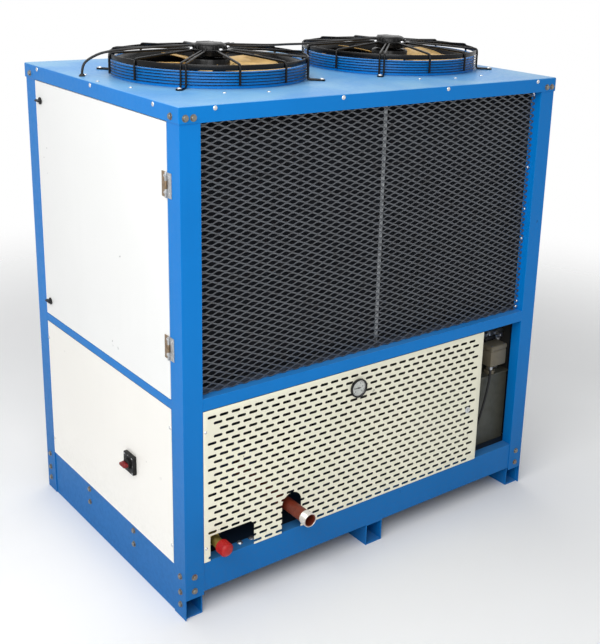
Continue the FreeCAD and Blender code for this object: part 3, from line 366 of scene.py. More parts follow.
class Wire:
    """One output of a finish's nodes; sums, differences and products of it add Math nodes."""

    def __init__(self, finish, socket):
        self.finish = finish
        self.socket = socket

    def __add__(self, other):
        return self.finish.maths("ADD", self, other)

    def __sub__(self, other):
        return self.finish.maths("SUBTRACT", self, other)

    def __rsub__(self, other):
        return self.finish.maths("SUBTRACT", other, self)

    def __mul__(self, other):
        return self.finish.maths("MULTIPLY", self, other)

    __radd__ = __add__
    __rmul__ = __mul__


class Finish:
    """A material, built up from patterns on object coordinates."""

    def __init__(self, name, metallic=0.0, roughness=0.4, **steady):
        self.material = bpy.data.materials.new(name)
        self.material.use_nodes = True
        self.tree = self.material.node_tree
        self.shader = self.tree.nodes["Principled BSDF"]
        self.shader.inputs["Metallic"].default_value = metallic
        self.shader.inputs["Roughness"].default_value = roughness
        for key, value in steady.items():
            self.shader.inputs[key.replace("_", " ").title().replace("Ior", "IOR")].default_value = value
        self.place = self.node("TexCoord", out="Object")
        parts = self.node("SeparateXYZ", inputs={"Vector": self.place}).socket.node
        self.x, self.y, self.z = (Wire(self, socket) for socket in parts.outputs)

    def node(self, kind, settings=None, inputs=None, out=0):
        made = self.tree.nodes.new("ShaderNode" + kind)
        for key, value in (settings or {}).items():
            setattr(made, key, value)
        for key, value in (inputs or {}).items():
            self.feed(made.inputs[key], value)
        return Wire(self, made.outputs[out])

    def feed(self, socket, value):
        if isinstance(value, Wire):
            self.tree.links.new(value.socket, socket)
        else:
            socket.default_value = value

    def maths(self, operation, *values):
        return self.node("Math", {"operation": operation}, dict(enumerate(values)))

    def stretched(self, x, y, z):
        return self.node("Mapping", inputs={"Vector": self.place, "Scale": (x, y, z)})

    def noise(self, scale, detail=3, place=None, distortion=0.0):
        return self.node("TexNoise", inputs={"Vector": place or self.place, "Scale": scale, "Detail": detail,
                                             "Distortion": distortion})

    def ramp(self, value, low, high, bottom=0.0, top=1.0):
        return self.node("MapRange", {"interpolation_type": "SMOOTHSTEP"},
                         {"Value": value, "From Min": low, "From Max": high, "To Min": bottom, "To Max": top})

    def blend(self, share, first, second):
        return self.node("Mix", {"data_type": "RGBA"}, {0: share, 6: first, 7: second}, out=2)

    def color(self, value):
        self.feed(self.shader.inputs["Base Color"], value)

    def rough(self, value):
        self.feed(self.shader.inputs["Roughness"], value)

    def bump(self, height, depth, strength):
        self.feed(self.shader.inputs["Normal"],
                  self.node("Bump", inputs={"Height": height, "Distance": depth, "Strength": strength}))


dirt = shade(112, 100, 86)
pale_dust_and_sheen = shade(180, 222, 224)
painted_inside_shade = shade(22, 22, 24)
painted_blue = (2, 126, 210)
frame_skin = (0.745, 0.475)


def sprayed(name, color, rough=0.36, dust=0.3, reach=0.35, patches=0.06, level=0.35,
            skin=(0.7512, 0.5162), film=0.0, low_shade=0.0):
    """Sprayed enamel: orange peel, scuffs, dirt specks and painted shade below, pale dust with a painted
    sheen on what faces up, and nearly black painted shade within.
    """
    color = shade(*color)
    coat = Finish(name, specular_ior_level=level)
    facing = coat.node("SeparateXYZ", inputs={"Vector": coat.node("TexCoord", out="Normal")}, out=2)
    # Pale dust with a painted sheen on faces that look up and on the upper folds, in drifts.
    drift = coat.ramp(coat.noise(2.6, 4, distortion=0.6), 0.35, 0.65, film * 0.5, film)
    dust_and_sheen = coat.ramp(facing, 0.2, 0.8) * drift
    # Painted shade: faces inside the cabinet's outer skin are coloured nearly black.
    across = coat.ramp(coat.maths("ABSOLUTE", coat.x), skin[0], skin[0] - 0.0004)
    along = coat.ramp(coat.maths("ABSOLUTE", coat.y), skin[1], skin[1] - 0.0004)
    shaded_within = across * along * coat.ramp(coat.z, 0.171, 0.174) * coat.ramp(coat.z, 1.5978, 1.5974)
    cloud = coat.noise(1.8, 3)
    speck = coat.noise(70, 5)
    tone = coat.blend(coat.ramp(cloud, 0.35, 0.65), dimmed(color, 1 - patches), color)
    streak = coat.noise(5, 5, coat.stretched(3, 3, 0.35))
    tone = coat.blend(coat.ramp(streak, 0.5, 0.8, 0, patches * 2), tone, dimmed(color, 0.72))
    low = coat.ramp(coat.z, reach, 0.02)
    tone = coat.blend(low * coat.ramp(speck, 0.38, 0.78) * dust, tone, dirt)
    chip = coat.ramp(coat.noise(38, 2), 0.745, 0.76) * coat.ramp(coat.noise(3, 2), 0.52, 0.6)
    tone = coat.blend(chip * 0.65, tone, dimmed(color, 0.35))
    # Painted shade: the colour grows darker towards the bottom.
    tone = coat.blend(coat.ramp(coat.z, 0.9, 0.05, 0, low_shade), tone, dimmed(color, 0.3))
    tone = coat.blend(dust_and_sheen, tone, pale_dust_and_sheen)
    coat.color(coat.blend(shaded_within * 0.94, tone, painted_inside_shade))
    coat.rough(rough + coat.ramp(speck, 0.3, 0.8, 0, 0.12) + low * 0.14)
    coat.bump(coat.noise(420, 2) + chip * -0.8, 0.00025, 0.35)
    return coat


def plated(name, color, rough, stain, share=0.5, metallic=0.85, scale=150):
    """Bare or plated metal with a grain, dull spots and stains."""
    color, stain = shade(*color), shade(*stain)
    metal = Finish(name, metallic=metallic)
    grain = metal.noise(scale, 4)
    cloud = metal.noise(18, 4)
    tone = metal.blend(metal.ramp(grain, 0.3, 0.7), dimmed(color, 0.78), color)
    spots = metal.ramp(metal.noise(scale * 0.6, 5), 0.5, 0.62) * metal.ramp(cloud, 0.42, 0.6)
    metal.color(metal.blend(spots * share, tone, stain))
    metal.rough(rough + grain * 0.12 + spots * 0.3)
    metal.feed(metal.shader.inputs["Metallic"], metallic - spots * share * 0.7)
    metal.bump(grain + spots * 0.5, 0.0002, 0.4)
    return metal


def moulded(name, color, rough=0.45, grain=0.0002, scale=900, level=0.5):
    """Moulded plastic or rubber with a fine grain and handling marks."""
    color = shade(*color)
    plastic = Finish(name, specular_ior_level=level)
    marks = plastic.noise(30, 5)
    plastic.color(plastic.blend(plastic.ramp(marks, 0.35, 0.8), color, dimmed(color, 0.8)))
    plastic.rough(rough + plastic.ramp(marks, 0.3, 0.75, 0, 0.18))
    plastic.bump(plastic.noise(scale, 2), grain, 0.4)
    return plastic


def spangled():
    """Galvanised sheet: crystals of zinc, each at its own brightness."""
    zinc = Finish("galvanised_sheet", metallic=0.8)
    crystals = zinc.node("TexVoronoi", inputs={"Vector": zinc.place, "Scale": 110.0}, out="Color")
    level = zinc.node("RGBToBW", inputs={"Color": crystals})
    film = zinc.noise(6, 4)
    tone = zinc.blend(level, shade(146, 150, 154), shade(196, 200, 203))
    zinc.color(zinc.blend(zinc.ramp(film, 0.5, 0.8, 0, 0.35), tone, shade(150, 148, 142)))
    zinc.rough(0.32 + level * 0.16 + film * 0.1)
    zinc.bump(level, 0.0001, 0.3)
    return zinc


def clear_glass():
    glass = Finish("gauge_window", roughness=0.02, ior=1.45, transmission_weight=1.0)
    smear = glass.noise(60, 4)
    glass.rough(glass.ramp(smear, 0.55, 0.8, 0.015, 0.12))
    glass.color(glass.blend(smear, shade(246, 250, 250), shade(252, 252, 252)))
    return glass


# The frame's blue grows darker towards the floor: painted shade.
blue = sprayed("sprayed_blue", painted_blue, 0.32, 0.14, 0.35, level=0.18, skin=frame_skin, film=0.08,
               low_shade=0.42)
# The lid's top gets more pale dust and painted sheen than the frame.
lid_blue = sprayed("sprayed_lid_blue", painted_blue, 0.34, 0.1, level=0.2, skin=frame_skin, film=0.46)
shaded = sprayed("shaded_blue", (16, 34, 58), 0.5, 0.2, level=0.2)
white = sprayed("sprayed_white", (249, 249, 247), 0.34, 0.12, 0.3, 0.02, skin=(0.7, 0.5162))
ivory = sprayed("sprayed_ivory", (253, 250, 243), 0.36, 0.1, 0.4, 0.018)
cream = sprayed("sprayed_cream", (250, 247, 224), 0.42, 0.2, 0.35, 0.05)
gloss_black = sprayed("stoved_black", (6, 6, 7), 0.24, 0.1, 0.2, level=0.2)
expanded = plated("coated_expanded_metal", (112, 115, 120), 0.42, (50, 48, 48), 0.6, 0.45, 120)
galvanised = spangled()
# The casings behind the mesh are coloured dark grey instead of galvanised: painted shade.
shaded_casing = plated("dulled_casing", (58, 62, 70), 0.55, (40, 40, 42), 0.4, 0.3, 120)
knuckle = plated("oiled_knuckle", (150, 128, 102), 0.34, (96, 70, 46), 0.5, 0.8, 160)
zinc = plated("yellowed_zinc", (140, 136, 126), 0.3, (122, 62, 26), 1.0, 0.8, 150)
bright = plated("bright_zinc", (222, 224, 226), 0.18, (150, 146, 140), 0.3, 0.9, 260)
# The fins are coloured far darker than bare aluminium: painted shade in the coil behind the mesh.
fins = plated("aged_aluminium_fins", (52, 56, 64), 0.5, (34, 34, 36), 0.5, 0.5, 40)
bronze = plated("lacquered_blades", (212, 174, 104), 0.32, (120, 88, 52), 0.35, 0.6, 30)
primer = plated("red_oxide_coat", (114, 42, 22), 0.42, (76, 34, 20), 0.4, 0.05, 60)
threaded = plated("cut_thread", (226, 222, 214), 0.26, (150, 120, 96), 0.3, 0.8, 200)
brass = plated("tarnished_brass", (172, 150, 74), 0.34, (96, 84, 50), 0.5, 0.75, 90)
copper = plated("drawn_copper", (196, 118, 82), 0.26, (112, 66, 50), 0.4, 0.9, 60)
steel = plated("brushed_steel", (190, 192, 194), 0.24, (128, 124, 118), 0.3, 0.9, 180)
cast = plated("painted_casting", (44, 62, 92), 0.5, (30, 32, 38), 0.5, 0.1, 300)
red = moulded("red_moulding", (176, 5, 4), 0.38)
maroon = moulded("maroon_moulding", (124, 6, 14), 0.4)
black = moulded("black_moulding", (12, 12, 13), 0.42, level=0.3)
grey = moulded("grey_moulding", (172, 172, 166), 0.45)
aged = moulded("aged_moulding", (116, 108, 90), 0.45)
rubber = moulded("cable_sheath", (22, 22, 23), 0.52, 0.0003, 500)
# The tank is coloured darker than its plastic: painted shade in the bay.
shaded_tank_wall = moulded("tank_polyethylene_in_painted_shade", (84, 84, 74), 0.5, 0.0004, 160)
dial_white = moulded("dial_enamel", (240, 240, 234), 0.5, 0.00005)
dial_ink = moulded("dial_ink", (24, 24, 26), 0.6, 0.00005)
switch_ink = moulded("switch_ink", (226, 226, 222), 0.5, 0.00005)
window = clear_glass()


# Folded cabinet sheets: the CAD shapes with the radius of their folds

for label in ("left_skid", "right_skid", "middle_skid", "front_base_rail", "rear_base_rail",
              "front_left_post", "front_right_post", "rear_left_post", "rear_right_post", "front_mid_rail",
              "rear_mid_rail", "side_bars"):
    softened(label, blue, "blue_paint", 1.1, 3)
softened("lid", lid_blue, "blue_paint", 1.2, 2, fold=4)
softened("panel_mullion", shaded, "blue_paint", 1.1, 3)
softened("door_panel", white, "white_paint", 0.7, 2)
for label in ("lower_left_panel", "right_lower_panel", "right_upper_panel", "rear_lower_panel"):
    softened(label, ivory, "white_paint", 0.7, 2)


# Expanded metal: two staggered rows of tilted strand, repeated over the opening

mesh_low = 735
mesh_high = 1560


def expanded_sheet(name, side):
    """Rows of zigzag strand that touch at their bonds."""
    across = 29
    rows = 39
    bond = 3.8
    tilt = radians(25)
    half_thick = 0.7
    half_high = 2.55
    pitch_x = 2 * opening / across
    pitch_z = (mesh_high - mesh_low) / rows
    quarter = pitch_z / 4 - bond / 2
    half = pitch_x / 2
    section = []
    for out, up in ((-1, -1), (1, -1), (1, 1), (-1, 1)):
        a, b = out * half_thick, up * half_high
        section.append((a * cos(tilt) - b * sin(tilt), a * sin(tilt) + b * cos(tilt)))
    y = side * (half_deep - 26.5)
    z = mesh_low + pitch_z * 0.25
    start = -opening - pitch_x - bond
    line([(start, y + a, z + quarter + b) for a, b in [*section, section[0]]])
    bpy.ops.mesh.remove_doubles(threshold=0.001)
    for fall in (-2, 2):
        push((2 * bond, 0, 0))
        push((half - 2 * bond, 0, fall * quarter))
    outward()
    strand = done(name)
    twin = copied(strand, Matrix.Translation((half, 0, pitch_z / 2)))
    sheet = joined(name, [strand, twin])
    arrayed(sheet, across + 2, (pitch_x, 0, 0), True)
    arrayed(sheet, rows, (0, 0, pitch_z))
    edit(sheet)
    for end in (-1, 1):
        bpy.ops.mesh.select_all(action="SELECT")
        bpy.ops.mesh.bisect(plane_co=(end * opening, 0, 0), plane_no=(end, 0, 0), use_fill=True,
                            clear_outer=True)
    return done(name)


for side, node in ((-1, "front_mesh"), (1, "rear_mesh")):
    dress(expanded_sheet(node + "_strands", side), expanded, "mesh_paint", node, angle=20)


# Slotted front panel: a shallow pan with 23 rows of brick-laid slots, cut by the two pipe notches

pan_left = -685
pan_right = 490
slot_pitch = 41.8
row_pitch = 21.6


def slotted_panel():
    pan = slab("slotted_panel", (pan_left, pan_right), (-half_deep, -half_deep + 20), (182, 693))
    edit(pan)
    pick("FACE", lambda face: face.normal.y > 0.5 or face.normal.z < -0.5)
    bpy.ops.mesh.delete(type="FACE")
    done()
    shaped(pan, "SOLIDIFY", thickness=1.5, offset=-1, use_even_offset=True)
    bevelled(pan, 0.6, 2)
    slots = []
    for row in range(23):
        missing = row in (2, 20)
        first = pan_left + 30 + (slot_pitch / 2 if row % 2 else 0)
        centre = first + (slot_pitch if missing else 0)
        slot = drum("slot", "Y", (centre, 669.5 - row_pitch * row), 4.8, -half_deep - 3, -half_deep + 5, 12,
                    radians(15))
        edit(slot)
        for end in (-1, 1):
            pick("VERT", lambda vert: (vert.co.x - centre) * end > 0)
            bpy.ops.transform.translate(value=(end * 10.6, 0, 0))
        done()
        slots.append(arrayed(slot, 26 if missing else 27, (slot_pitch, 0, 0)))
    cutter = joined("slots", slots)
    square = [(-663, 170), (-663, 270), (-515, 270), (-502, 257), (-502, 170)]
    arch = [(outlet[0] + 38 * cos(radians(a)), 282 + 38 * sin(radians(a))) for a in range(180, -1, -15)]
    round_top = [(outlet[0] - 38, 170), *arch, (outlet[0] + 38, 170)]
    notches = [plate(name, [(x, -530, z) for x, z in corners], (0, 18, 0))
               for name, corners in (("notch", square), ("notch_round", round_top))]
    gauge_hole = drum("gauge_hole", "Y", gauge_at, 30.06, -530, -505)
    lock_hole = drum("lock_hole", "Y", lock_at, 8.06, -530, -505, 24)
    return carved(pan, cutter, *notches, gauge_hole, lock_hole)


dress(slotted_panel(), cream, "cream_paint", "perforated_panel", angle=25)


# Finned coils in folded casings


def coil(side, node):
    back = side * (half_deep - 154)
    casing_y = sorted((side * (half_deep - 31), back))
    casing = slab(node + "_casing", (-opening, opening), casing_y, (737, 1589.5))
    edit(casing)
    pick("FACE", lambda face: abs(face.normal.y) > 0.5)
    bpy.ops.mesh.inset(thickness=14, depth=0, use_individual=True)
    bpy.ops.mesh.delete(type="FACE")
    done()
    shaped(casing, "SOLIDIFY", thickness=1.5, offset=-1, use_even_offset=True)
    bevelled(casing, 0.5, 1)
    # Painted shade: the casing takes the dark grey finish.
    dress(casing, shaded_casing, "galvanised", node)
    face = side * (half_deep - 64)
    fin_y = sorted((face, back + side * 2))
    fin = slab(node + "_fins", (-opening + 3, -opening + 3.5), fin_y, (739, 1588))
    arrayed(fin, 340, (4.02, 0, 0))
    dress(fin, fins, "fin_dark")
    pipe = tube(node + "_tubes", [(end * (opening - 3), face - side * 12, 758) for end in (-1, 1)], 5)
    arrayed(pipe, 33, (0, 0, 25.4))
    rear = copied(pipe, Matrix.Translation((0, -side * 32, 12.7)))
    dress(joined(node + "_tubes", [pipe, rear]), copper, "copper")


coil(-1, "front_coil")
coil(1, "rear_coil")


# Fans: bell mouths, wire guards, ribbed motors and bladed impellers


throat = [(282, -30), (282, 16), (283, 24), (286, 33), (290, 42), (296, 48), (301, 50)]
skirt = [(284, -30), (284, -1), (286, 0), (310, 0), (312, 1.5), (312, 48), (310.5, 50), (302, 50)]
behind_throat = [(radius + 1, up) for radius, up in reversed(throat)]


def both_fans(name, profile):
    """The same turned shape round both fans."""
    return joined(name, [turned(name, "Z", (fan_x, 0), profile, 96, tall) for fan_x in (fan_left, fan_right)])


dress(both_fans("bell_mouths", [*skirt, *behind_throat, skirt[0]]), blue, "blue_paint", "fan_shrouds", angle=40)
# Painted shade: the throats' inner faces are gloss black instead of the shroud's blue.
dress(both_fans("bell_throats_in_painted_shade", [*throat, *behind_throat, throat[0]]), gloss_black, "blue_paint", "fan_shrouds",
      angle=40)


def guard(name, fan_x, node):
    """Eight single spokes and four double ones whose wires run down to loops under the foot bolts."""
    over_rim = [(310, 73.5), (317, 72), (321, 68), (322, 62), (322, 10)]
    spoke = [(62, 0, 85), (74, 0, 85), (200, 0, 79.5), *[(x, 0, z) for x, z in over_rim]]
    single = tube("spoke", spoke, 3.8)
    parts = [copied(single, Matrix.Rotation(radians(15 + 30 * k), 4, "Z")) for k in range(12) if k % 3 != 1]
    bpy.data.objects.remove(single)
    foot = [*over_rim, (323.5, 5), (328, 2.8), (368, 2.8)]
    side = [(72, 6, 85), (200, 7, 79.5), *[(x, 8, z) for x, z in foot]]
    tip = [(368 + 8 * sin(a), 8 * cos(a), 2.8) for a in (0.5, 1.05, 1.57, 2.09, 2.64)]
    loop = tube("foot_loop", [*side, *tip, *[(x, -y, z) for x, y, z in reversed(side)]], 3.2)
    parts += [copied(loop, Matrix.Rotation(radians(45 + 90 * k), 4, "Z")) for k in range(4)]
    bpy.data.objects.remove(loop)
    hoop = [(318.6 + 1.5 * cos(tau * k / 6), 1.5 * sin(tau * k / 6)) for k in range(7)]
    parts += [turned("hoop", "Z", (0, 0), hoop, 96, up) for up in (47, 38, 29, 20, 11)]
    # The rim is drawn as a tall black band which also fills the gap above the bell mouth: the guard's rim and
    # painted shade.
    rim_and_shade_band = [(315.6, 55), (319.4, 55), (319.4, 71), (315.6, 71), (315.6, 55)]
    parts.append(bevelled(turned("rim", "Z", (0, 0), rim_and_shade_band, 96), 0.8, 2))
    flange = [(59.5, 83.5), (75, 83.5), (76, 84), (76, 86.6), (75, 87), (60, 87), (59.5, 86.6), (59.5, 83.5)]
    parts.append(turned("mount", "Z", (0, 0), flange, 64))
    found = joined(name, parts)
    found.data.transform(Matrix.Translation((fan_x, 0, tall)))
    dress(found, gloss_black, "black_paint", node, angle=40)


guard("guard_left_wires", fan_left, "fan_guard_left")
guard("guard_right_wires", fan_right, "fan_guard_right")


def motor(fan_x):
    """The ribbed stator with its cover, its flange and the terminal box."""
    stator = [(10.1, 63), (50, 63), (53, 66), (53, 78.5), (74, 78.5), (76, 80), (76, 82.5), (75, 83.5),
              (53, 83.5), (53, 96), (50, 101), (44, 104), (30, 105), (0, 105)]
    body = turned("stator", "Z", (0, 0), stator, 64)
    rib = slab("rib", (50, 57.5), (-1.6, 1.6), (83.5, 99))
    edit(rib)
    pick("VERT", lambda vert: vert.co.x > 55 and vert.co.z > 90)
    bpy.ops.transform.translate(value=(-2.5, 0, -3))
    done()
    bevelled(rib, 0.6, 1)
    ribs = all_round(rib, (0, 0, 0), "Z", 24)
    lid_rib = bevelled(slab("lid_rib", (16, 44), (-1.2, 1.2), (103, 105)), 0.5, 1)
    lid_rib = all_round(lid_rib, (0, 0, 0), "Z", 8)
    box = bevelled(slab("terminals", (-24, 24), (20, 46), (98, 105)), 2, 2)
    found = joined("motor", [body, ribs, lid_rib, box])
    found.data.transform(Matrix.Translation((fan_x, 0, tall)))
    return found


dress(joined("ribbed_motors", [motor(fan_left), motor(fan_right)]), gloss_black, "black_paint",
      "fan_motors")


def blade():
    """One broad blade: a cambered edge at the hub, extruded outwards while it twists and widens."""
    pitch = radians(34)
    half_root = 66
    middle = 6
    reach = 62
    points = []
    for k in range(9):
        along = -half_root + half_root / 4 * k
        camber = 10 * (1 - (along / half_root) ** 2)
        points.append((reach, along * cos(pitch) - camber * sin(pitch),
                       middle + along * sin(pitch) + camber * cos(pitch)))
    line(points)
    for step, twist, wide in ((20, 2.0, 1.12), (30, 2.2, 1.13), (40, 2.6, 1.14), (45, 2.4, 1.13),
                              (45, 2.2, 1.1), (40, 1.6, 1.04)):
        push((step, 0, 0))
        reach += step
        bpy.ops.transform.rotate(value=radians(twist), orient_axis="X", center_override=(reach, 0, middle))
        bpy.ops.transform.resize(value=(1, wide, wide * 0.97), center_override=(reach, 0, middle))
    found = done("blade")
    shaped(found, "SOLIDIFY", thickness=2.6, offset=0)
    carved(found, drum("tip_circle", "Z", (0, 0), 274.5, -60, 57, 96), operation="INTERSECT")
    return bevelled(found, 0.7, 1, 50)


hub = [(0, -38), (60, -38), (66, -33), (66, 52), (64.5, 56), (58, 59), (30, 59.5), (10, 60), (10, 92),
       (0, 92)]
for label, fan_x in (("impeller_left", fan_left), ("impeller_right", fan_right)):
    blades = all_round(blade(), (0, 0, 0), "Z", 5)
    blades.data.transform(Matrix.Translation((fan_x, 0, tall)))
    dress(blades, bronze, "golden_blade", label, body=label, name=label + "_blades")
    can = turned(label + "_can", "Z", (fan_x, 0), hub, 64, tall)
    dress(can, gloss_black, "black_paint", body=label)


# Bolt and screw heads


def hex_bolt():
    """A hexagon head with a chamfered crown on its washer."""
    washer = turned("washer", "Z", (0, 0), [(0, 0), (10.2, 0), (10.4, 0.4), (10.2, 1.1), (0, 1.1)], 24)
    head = drum("head", "Z", (0, 0), 8.2, 1.0, bolt_high, 6)
    crown = turned("crown", "Z", (0, 0), [(0, 0), (9, 0), (9, 4.6), (6.6, bolt_high), (0, bolt_high)], 24)
    carved(head, crown, operation="INTERSECT")
    return joined("hex_bolt", [washer, bevelled(head, 0.25, 1)])


def dome_screw():
    """A low domed head with a cross recess."""
    dome = [(0, 0), (6.9, 0), (screw_wide, 0.5), (6.4, 1.4), (5, 2.3), (3, 2.8), (0, screw_high)]
    head = turned("screw", "Z", (0, 0), dome, 20)
    for turn in (0, 90):
        arm = slab("arm", (-3, 3), (-0.6, 0.6), (1.8, 4))
        arm.data.transform(Matrix.Rotation(radians(turn), 4, "Z"))
        carved(head, arm)
    return head


def dome_bolt():
    """The high polished dome that holds a guard's foot loop."""
    dome = [(0, 0), (bolt_wide, 0), (bolt_wide, 0.9), (8.4, 1.1), (8.2, 2.4), (7.2, 4.2), (5, 5.5),
            (2.4, bolt_high), (0, bolt_high)]
    return turned("dome", "Z", (0, 0), dome, 24)


bolt_wide = 9
bolt_high = 6
screw_wide = 7
screw_high = 3
bolt = hex_bolt()
heads = heads_at(bolt, bolt_wide, bolt_high, loose_boxes("frame_bolts"))
dress(joined("frame_bolt_heads", heads), zinc, "zinc", "frame_bolts", angle=30)
small = dome_screw()
dome = dome_bolt()
boxes = loose_boxes("sheet_screws")
heads = heads_at(small, screw_wide, screw_high, [box for box in boxes if box[1][2] <= tall + 5])
dress(joined("sheet_screw_heads", heads), bright, "zinc", "sheet_screws")
heads = heads_at(dome, bolt_wide, bolt_high, [box for box in boxes if box[1][2] > tall + 5])
dress(joined("guard_foot_domes", heads), bright, "zinc")
flange_bolts = []
for fan_x in (fan_left, fan_right):
    for turn in (0, 90, 180, 270):
        place = (fan_x + 68 * cos(radians(turn)), 68 * sin(radians(turn)), tall + 87)
        flange_bolts.append(copied(dome, Matrix.Translation(place) @ Matrix.Diagonal((0.75, 0.75, 0.75, 1))))
dress(joined("motor_flange_bolts", flange_bolts), bright, "zinc")
seats = [[[x - bolt_wide, -492, 182], [x + bolt_wide, -474, 187]] for x in (-534, -490)]
heads = heads_at(bolt, bolt_wide, bolt_high, seats)
dress(joined("rail_flange_bolts", heads), bright, "zinc", angle=30)
seats = []
for side in (-1, 1):
    for x in (-677, 677):
        seats += [[[x - 5.5, side * 493.8 - 1.3, up - 5.5], [x + 5.5, side * 493.8 + 1.3, up + 5.5]]
                  for up in (1546, 1280, 1014, 749)]
dress(joined("mesh_screws", heads_at(small, screw_wide, screw_high, seats)), bright, "zinc")
for master in (bolt, small, dome):
    bpy.data.objects.remove(master)


# Hinges and latches


def leaf_screws(name, y, body):
    profile = [(0, -754.9), (2.2, -754.8), (3.6, -754.2), (3.8, -753.9), (3.8, -753), (0, -753)]
    found = []
    for up in (1374 - 24, 1374 + 24, 888 - 24, 888 + 24):
        head = turned("leaf_screw", "X", (y, up), profile, 20)
        found.append(carved(head, slab("key", (-756, -754.3), (y - 0.4, y + 0.4), (up - 3, up + 3))))
    dress(joined(name, found), bright, "zinc", body=body)


softened("door_hinge_leaves", knuckle, "zinc", 0.3, 2, 35)
softened("post_hinge_leaves", steel, "zinc", 0.3, 2, 35)
leaf_screws("door_leaf_screws", -432, "door")
leaf_screws("post_leaf_screws", -459, "cabinet")


def latch(node, up):
    """A wing handle on its collar, with the barrel and the cam behind the door."""
    y = 407.5
    profile = [(0, -755.8), (10.4, -755.8), (12, -754.8), (12, -752.06), (7.8, -752.06), (7.8, -728),
               (0, -728)]
    collar = turned("collar", "X", (y, up), profile, 40)
    wing = slab("wing", (-766, -755), (y - 19, y + 19), (up - 4, up + 4))
    bevelled(tapered(wing, -760, (-766, y, up), (1, 0.9, 0.7)), 1.6, 3)
    cam = bevelled(slab("cam", (-729, -726.5), (y - 8, y + 8), (up - 51, up + 6)), 0.6, 2)
    dress(joined(node + "_handle", [collar, wing, cam]), black, "black_plastic", node, body=node)


latch("upper_latch", 1485)
latch("lower_latch", 778)


# Isolator switch


def digit(name, text, size, place, turn):
    bpy.ops.object.text_add(location=place, rotation=turn)
    mark = bpy.context.object.data
    mark.body = text
    mark.size = size
    mark.align_x = "CENTER"
    mark.align_y = "CENTER"
    mark.extrude = 0.12
    bpy.ops.object.convert(target="MESH")
    return settle(name)


def isolator():
    at = (-183, 404)
    y, z = at
    plate_front = slab("switch_plate", (-766, -752), (y - 32.5, y + 32.5), (z - 32.5, z + 32.5))
    bevelled(plate_front, 3, 3)
    groove = [(24, -770), (25.4, -770), (25.4, -765), (24, -765), (24, -770)]
    carved(plate_front, turned("groove", "X", at, groove, 48))
    body = bevelled(slab("switch_body", (-752, -704), (y - 27, y + 27), (z - 27, z + 27)), 1.5, 2)
    dress(joined("switch_plate", [plate_front, body]), black, "black_plastic", "isolator_plate")
    screw = [(0, -766.8), (2, -766.7), (3, -766.2), (3, -765.5), (0, -765.5)]
    screws = [turned("plate_screw", "X", (y + side, z + up), screw, 16)
              for side in (-26, 26) for up in (-26, 26)]
    dress(joined("switch_plate_screws", screws), bright, "zinc")
    marks = [digit("switch_mark", text, 6, (-766.05, y + off, z + up), (pi / 2, 0, -pi / 2))
             for text, off, up in (("0", 0, 28.6), ("1", -28.6, 0))]
    dress(joined("switch_marks", marks), switch_ink, "black_plastic")
    knob = [(0, -774), (17, -774), (19, -772), (19, -766.5), (4, -766.5), (4, -754), (0, -754)]
    skirt = turned("knob", "X", at, knob, 48)
    grip = slab("grip", (-790, -773), (y - 17, y + 17), (z - 6, z + 6))
    bevelled(tapered(grip, -780, (-790, y, z), (1, 0.94, 0.72)), 1.8, 3)
    label = "isolator_knob"
    dress(grip, maroon, "red_plastic", label, body=label, name="switch_grip")
    dress(skirt, black, "red_plastic", label, body=label, name="switch_skirt")
    pointer = bevelled(slab("switch_pointer", (-790, -789.4), (y + 4, y + 14), (z - 0.9, z + 0.9)), 0.2, 1)
    dress(pointer, switch_ink, "red_plastic", body=label)


isolator()


# Switchgear in the control box: breakers, contactors and relays on their rails


def switchgear():
    plate_x = -537.5
    front = plate_x - 78
    way = 18
    hat = [(-8, -17), (-8, -11), (-1, -11), (-1, 12), (-8, 12), (-8, 18), (-7, 18), (-7, 13), (0, 13),
           (0, -12), (-7, -12), (-7, -17)]
    terminal = [(0, 22.6), (3, 22.7), (3.8, 23.2), (3.8, 24.4), (0, 24.4)]
    cases, toggles, rails, screws = [], [], [], []
    for up, items in ((1067, ((-250, 54), (-190, 54), (-130, 54), (-40, 90), (70, 90))),
                      (847, ((-250, 180), (-40, 76), (60, 150)))):
        rails.append(plate("gear_rail", [(plate_x + a, -285, up + b) for a, b in hat], (0, 570, 0)))
        for y, long in items:
            centre = y + long / 2
            base = slab("gear_base", (front + 24, plate_x - 8), (y, y + long), (up - 42, up + 43))
            nose = slab("gear_nose", (front, front + 26), (y + 2, y + long - 2), (up - 22, up + 23))
            cases += [bevelled(base, 1.5, 2), bevelled(nose, 1.5, 2)]
            toggle = slab("toggle", (front - 6, front + 1), (centre - long * 0.3, centre + long * 0.3),
                          (up - 2, up + 9))
            toggles.append(bevelled(toggle, 1.2, 2))
            ways = round(long / way)
            for k in range(ways):
                for side in (-32, 33):
                    at = (y + long * (k + 0.5) / ways, up + side)
                    screws.append(turned("terminal", "X", at, terminal, 16, front))
    dress(joined("gear_cases", cases), grey, "grey_plastic", "control_gear")
    dress(joined("gear_toggles", toggles), black, "grey_plastic")
    dress(joined("gear_rails", rails), steel, "grey_plastic", "control_gear")
    dress(joined("gear_terminals", screws), bright, "grey_plastic")


switchgear()


# Pressure gauge and panel lock


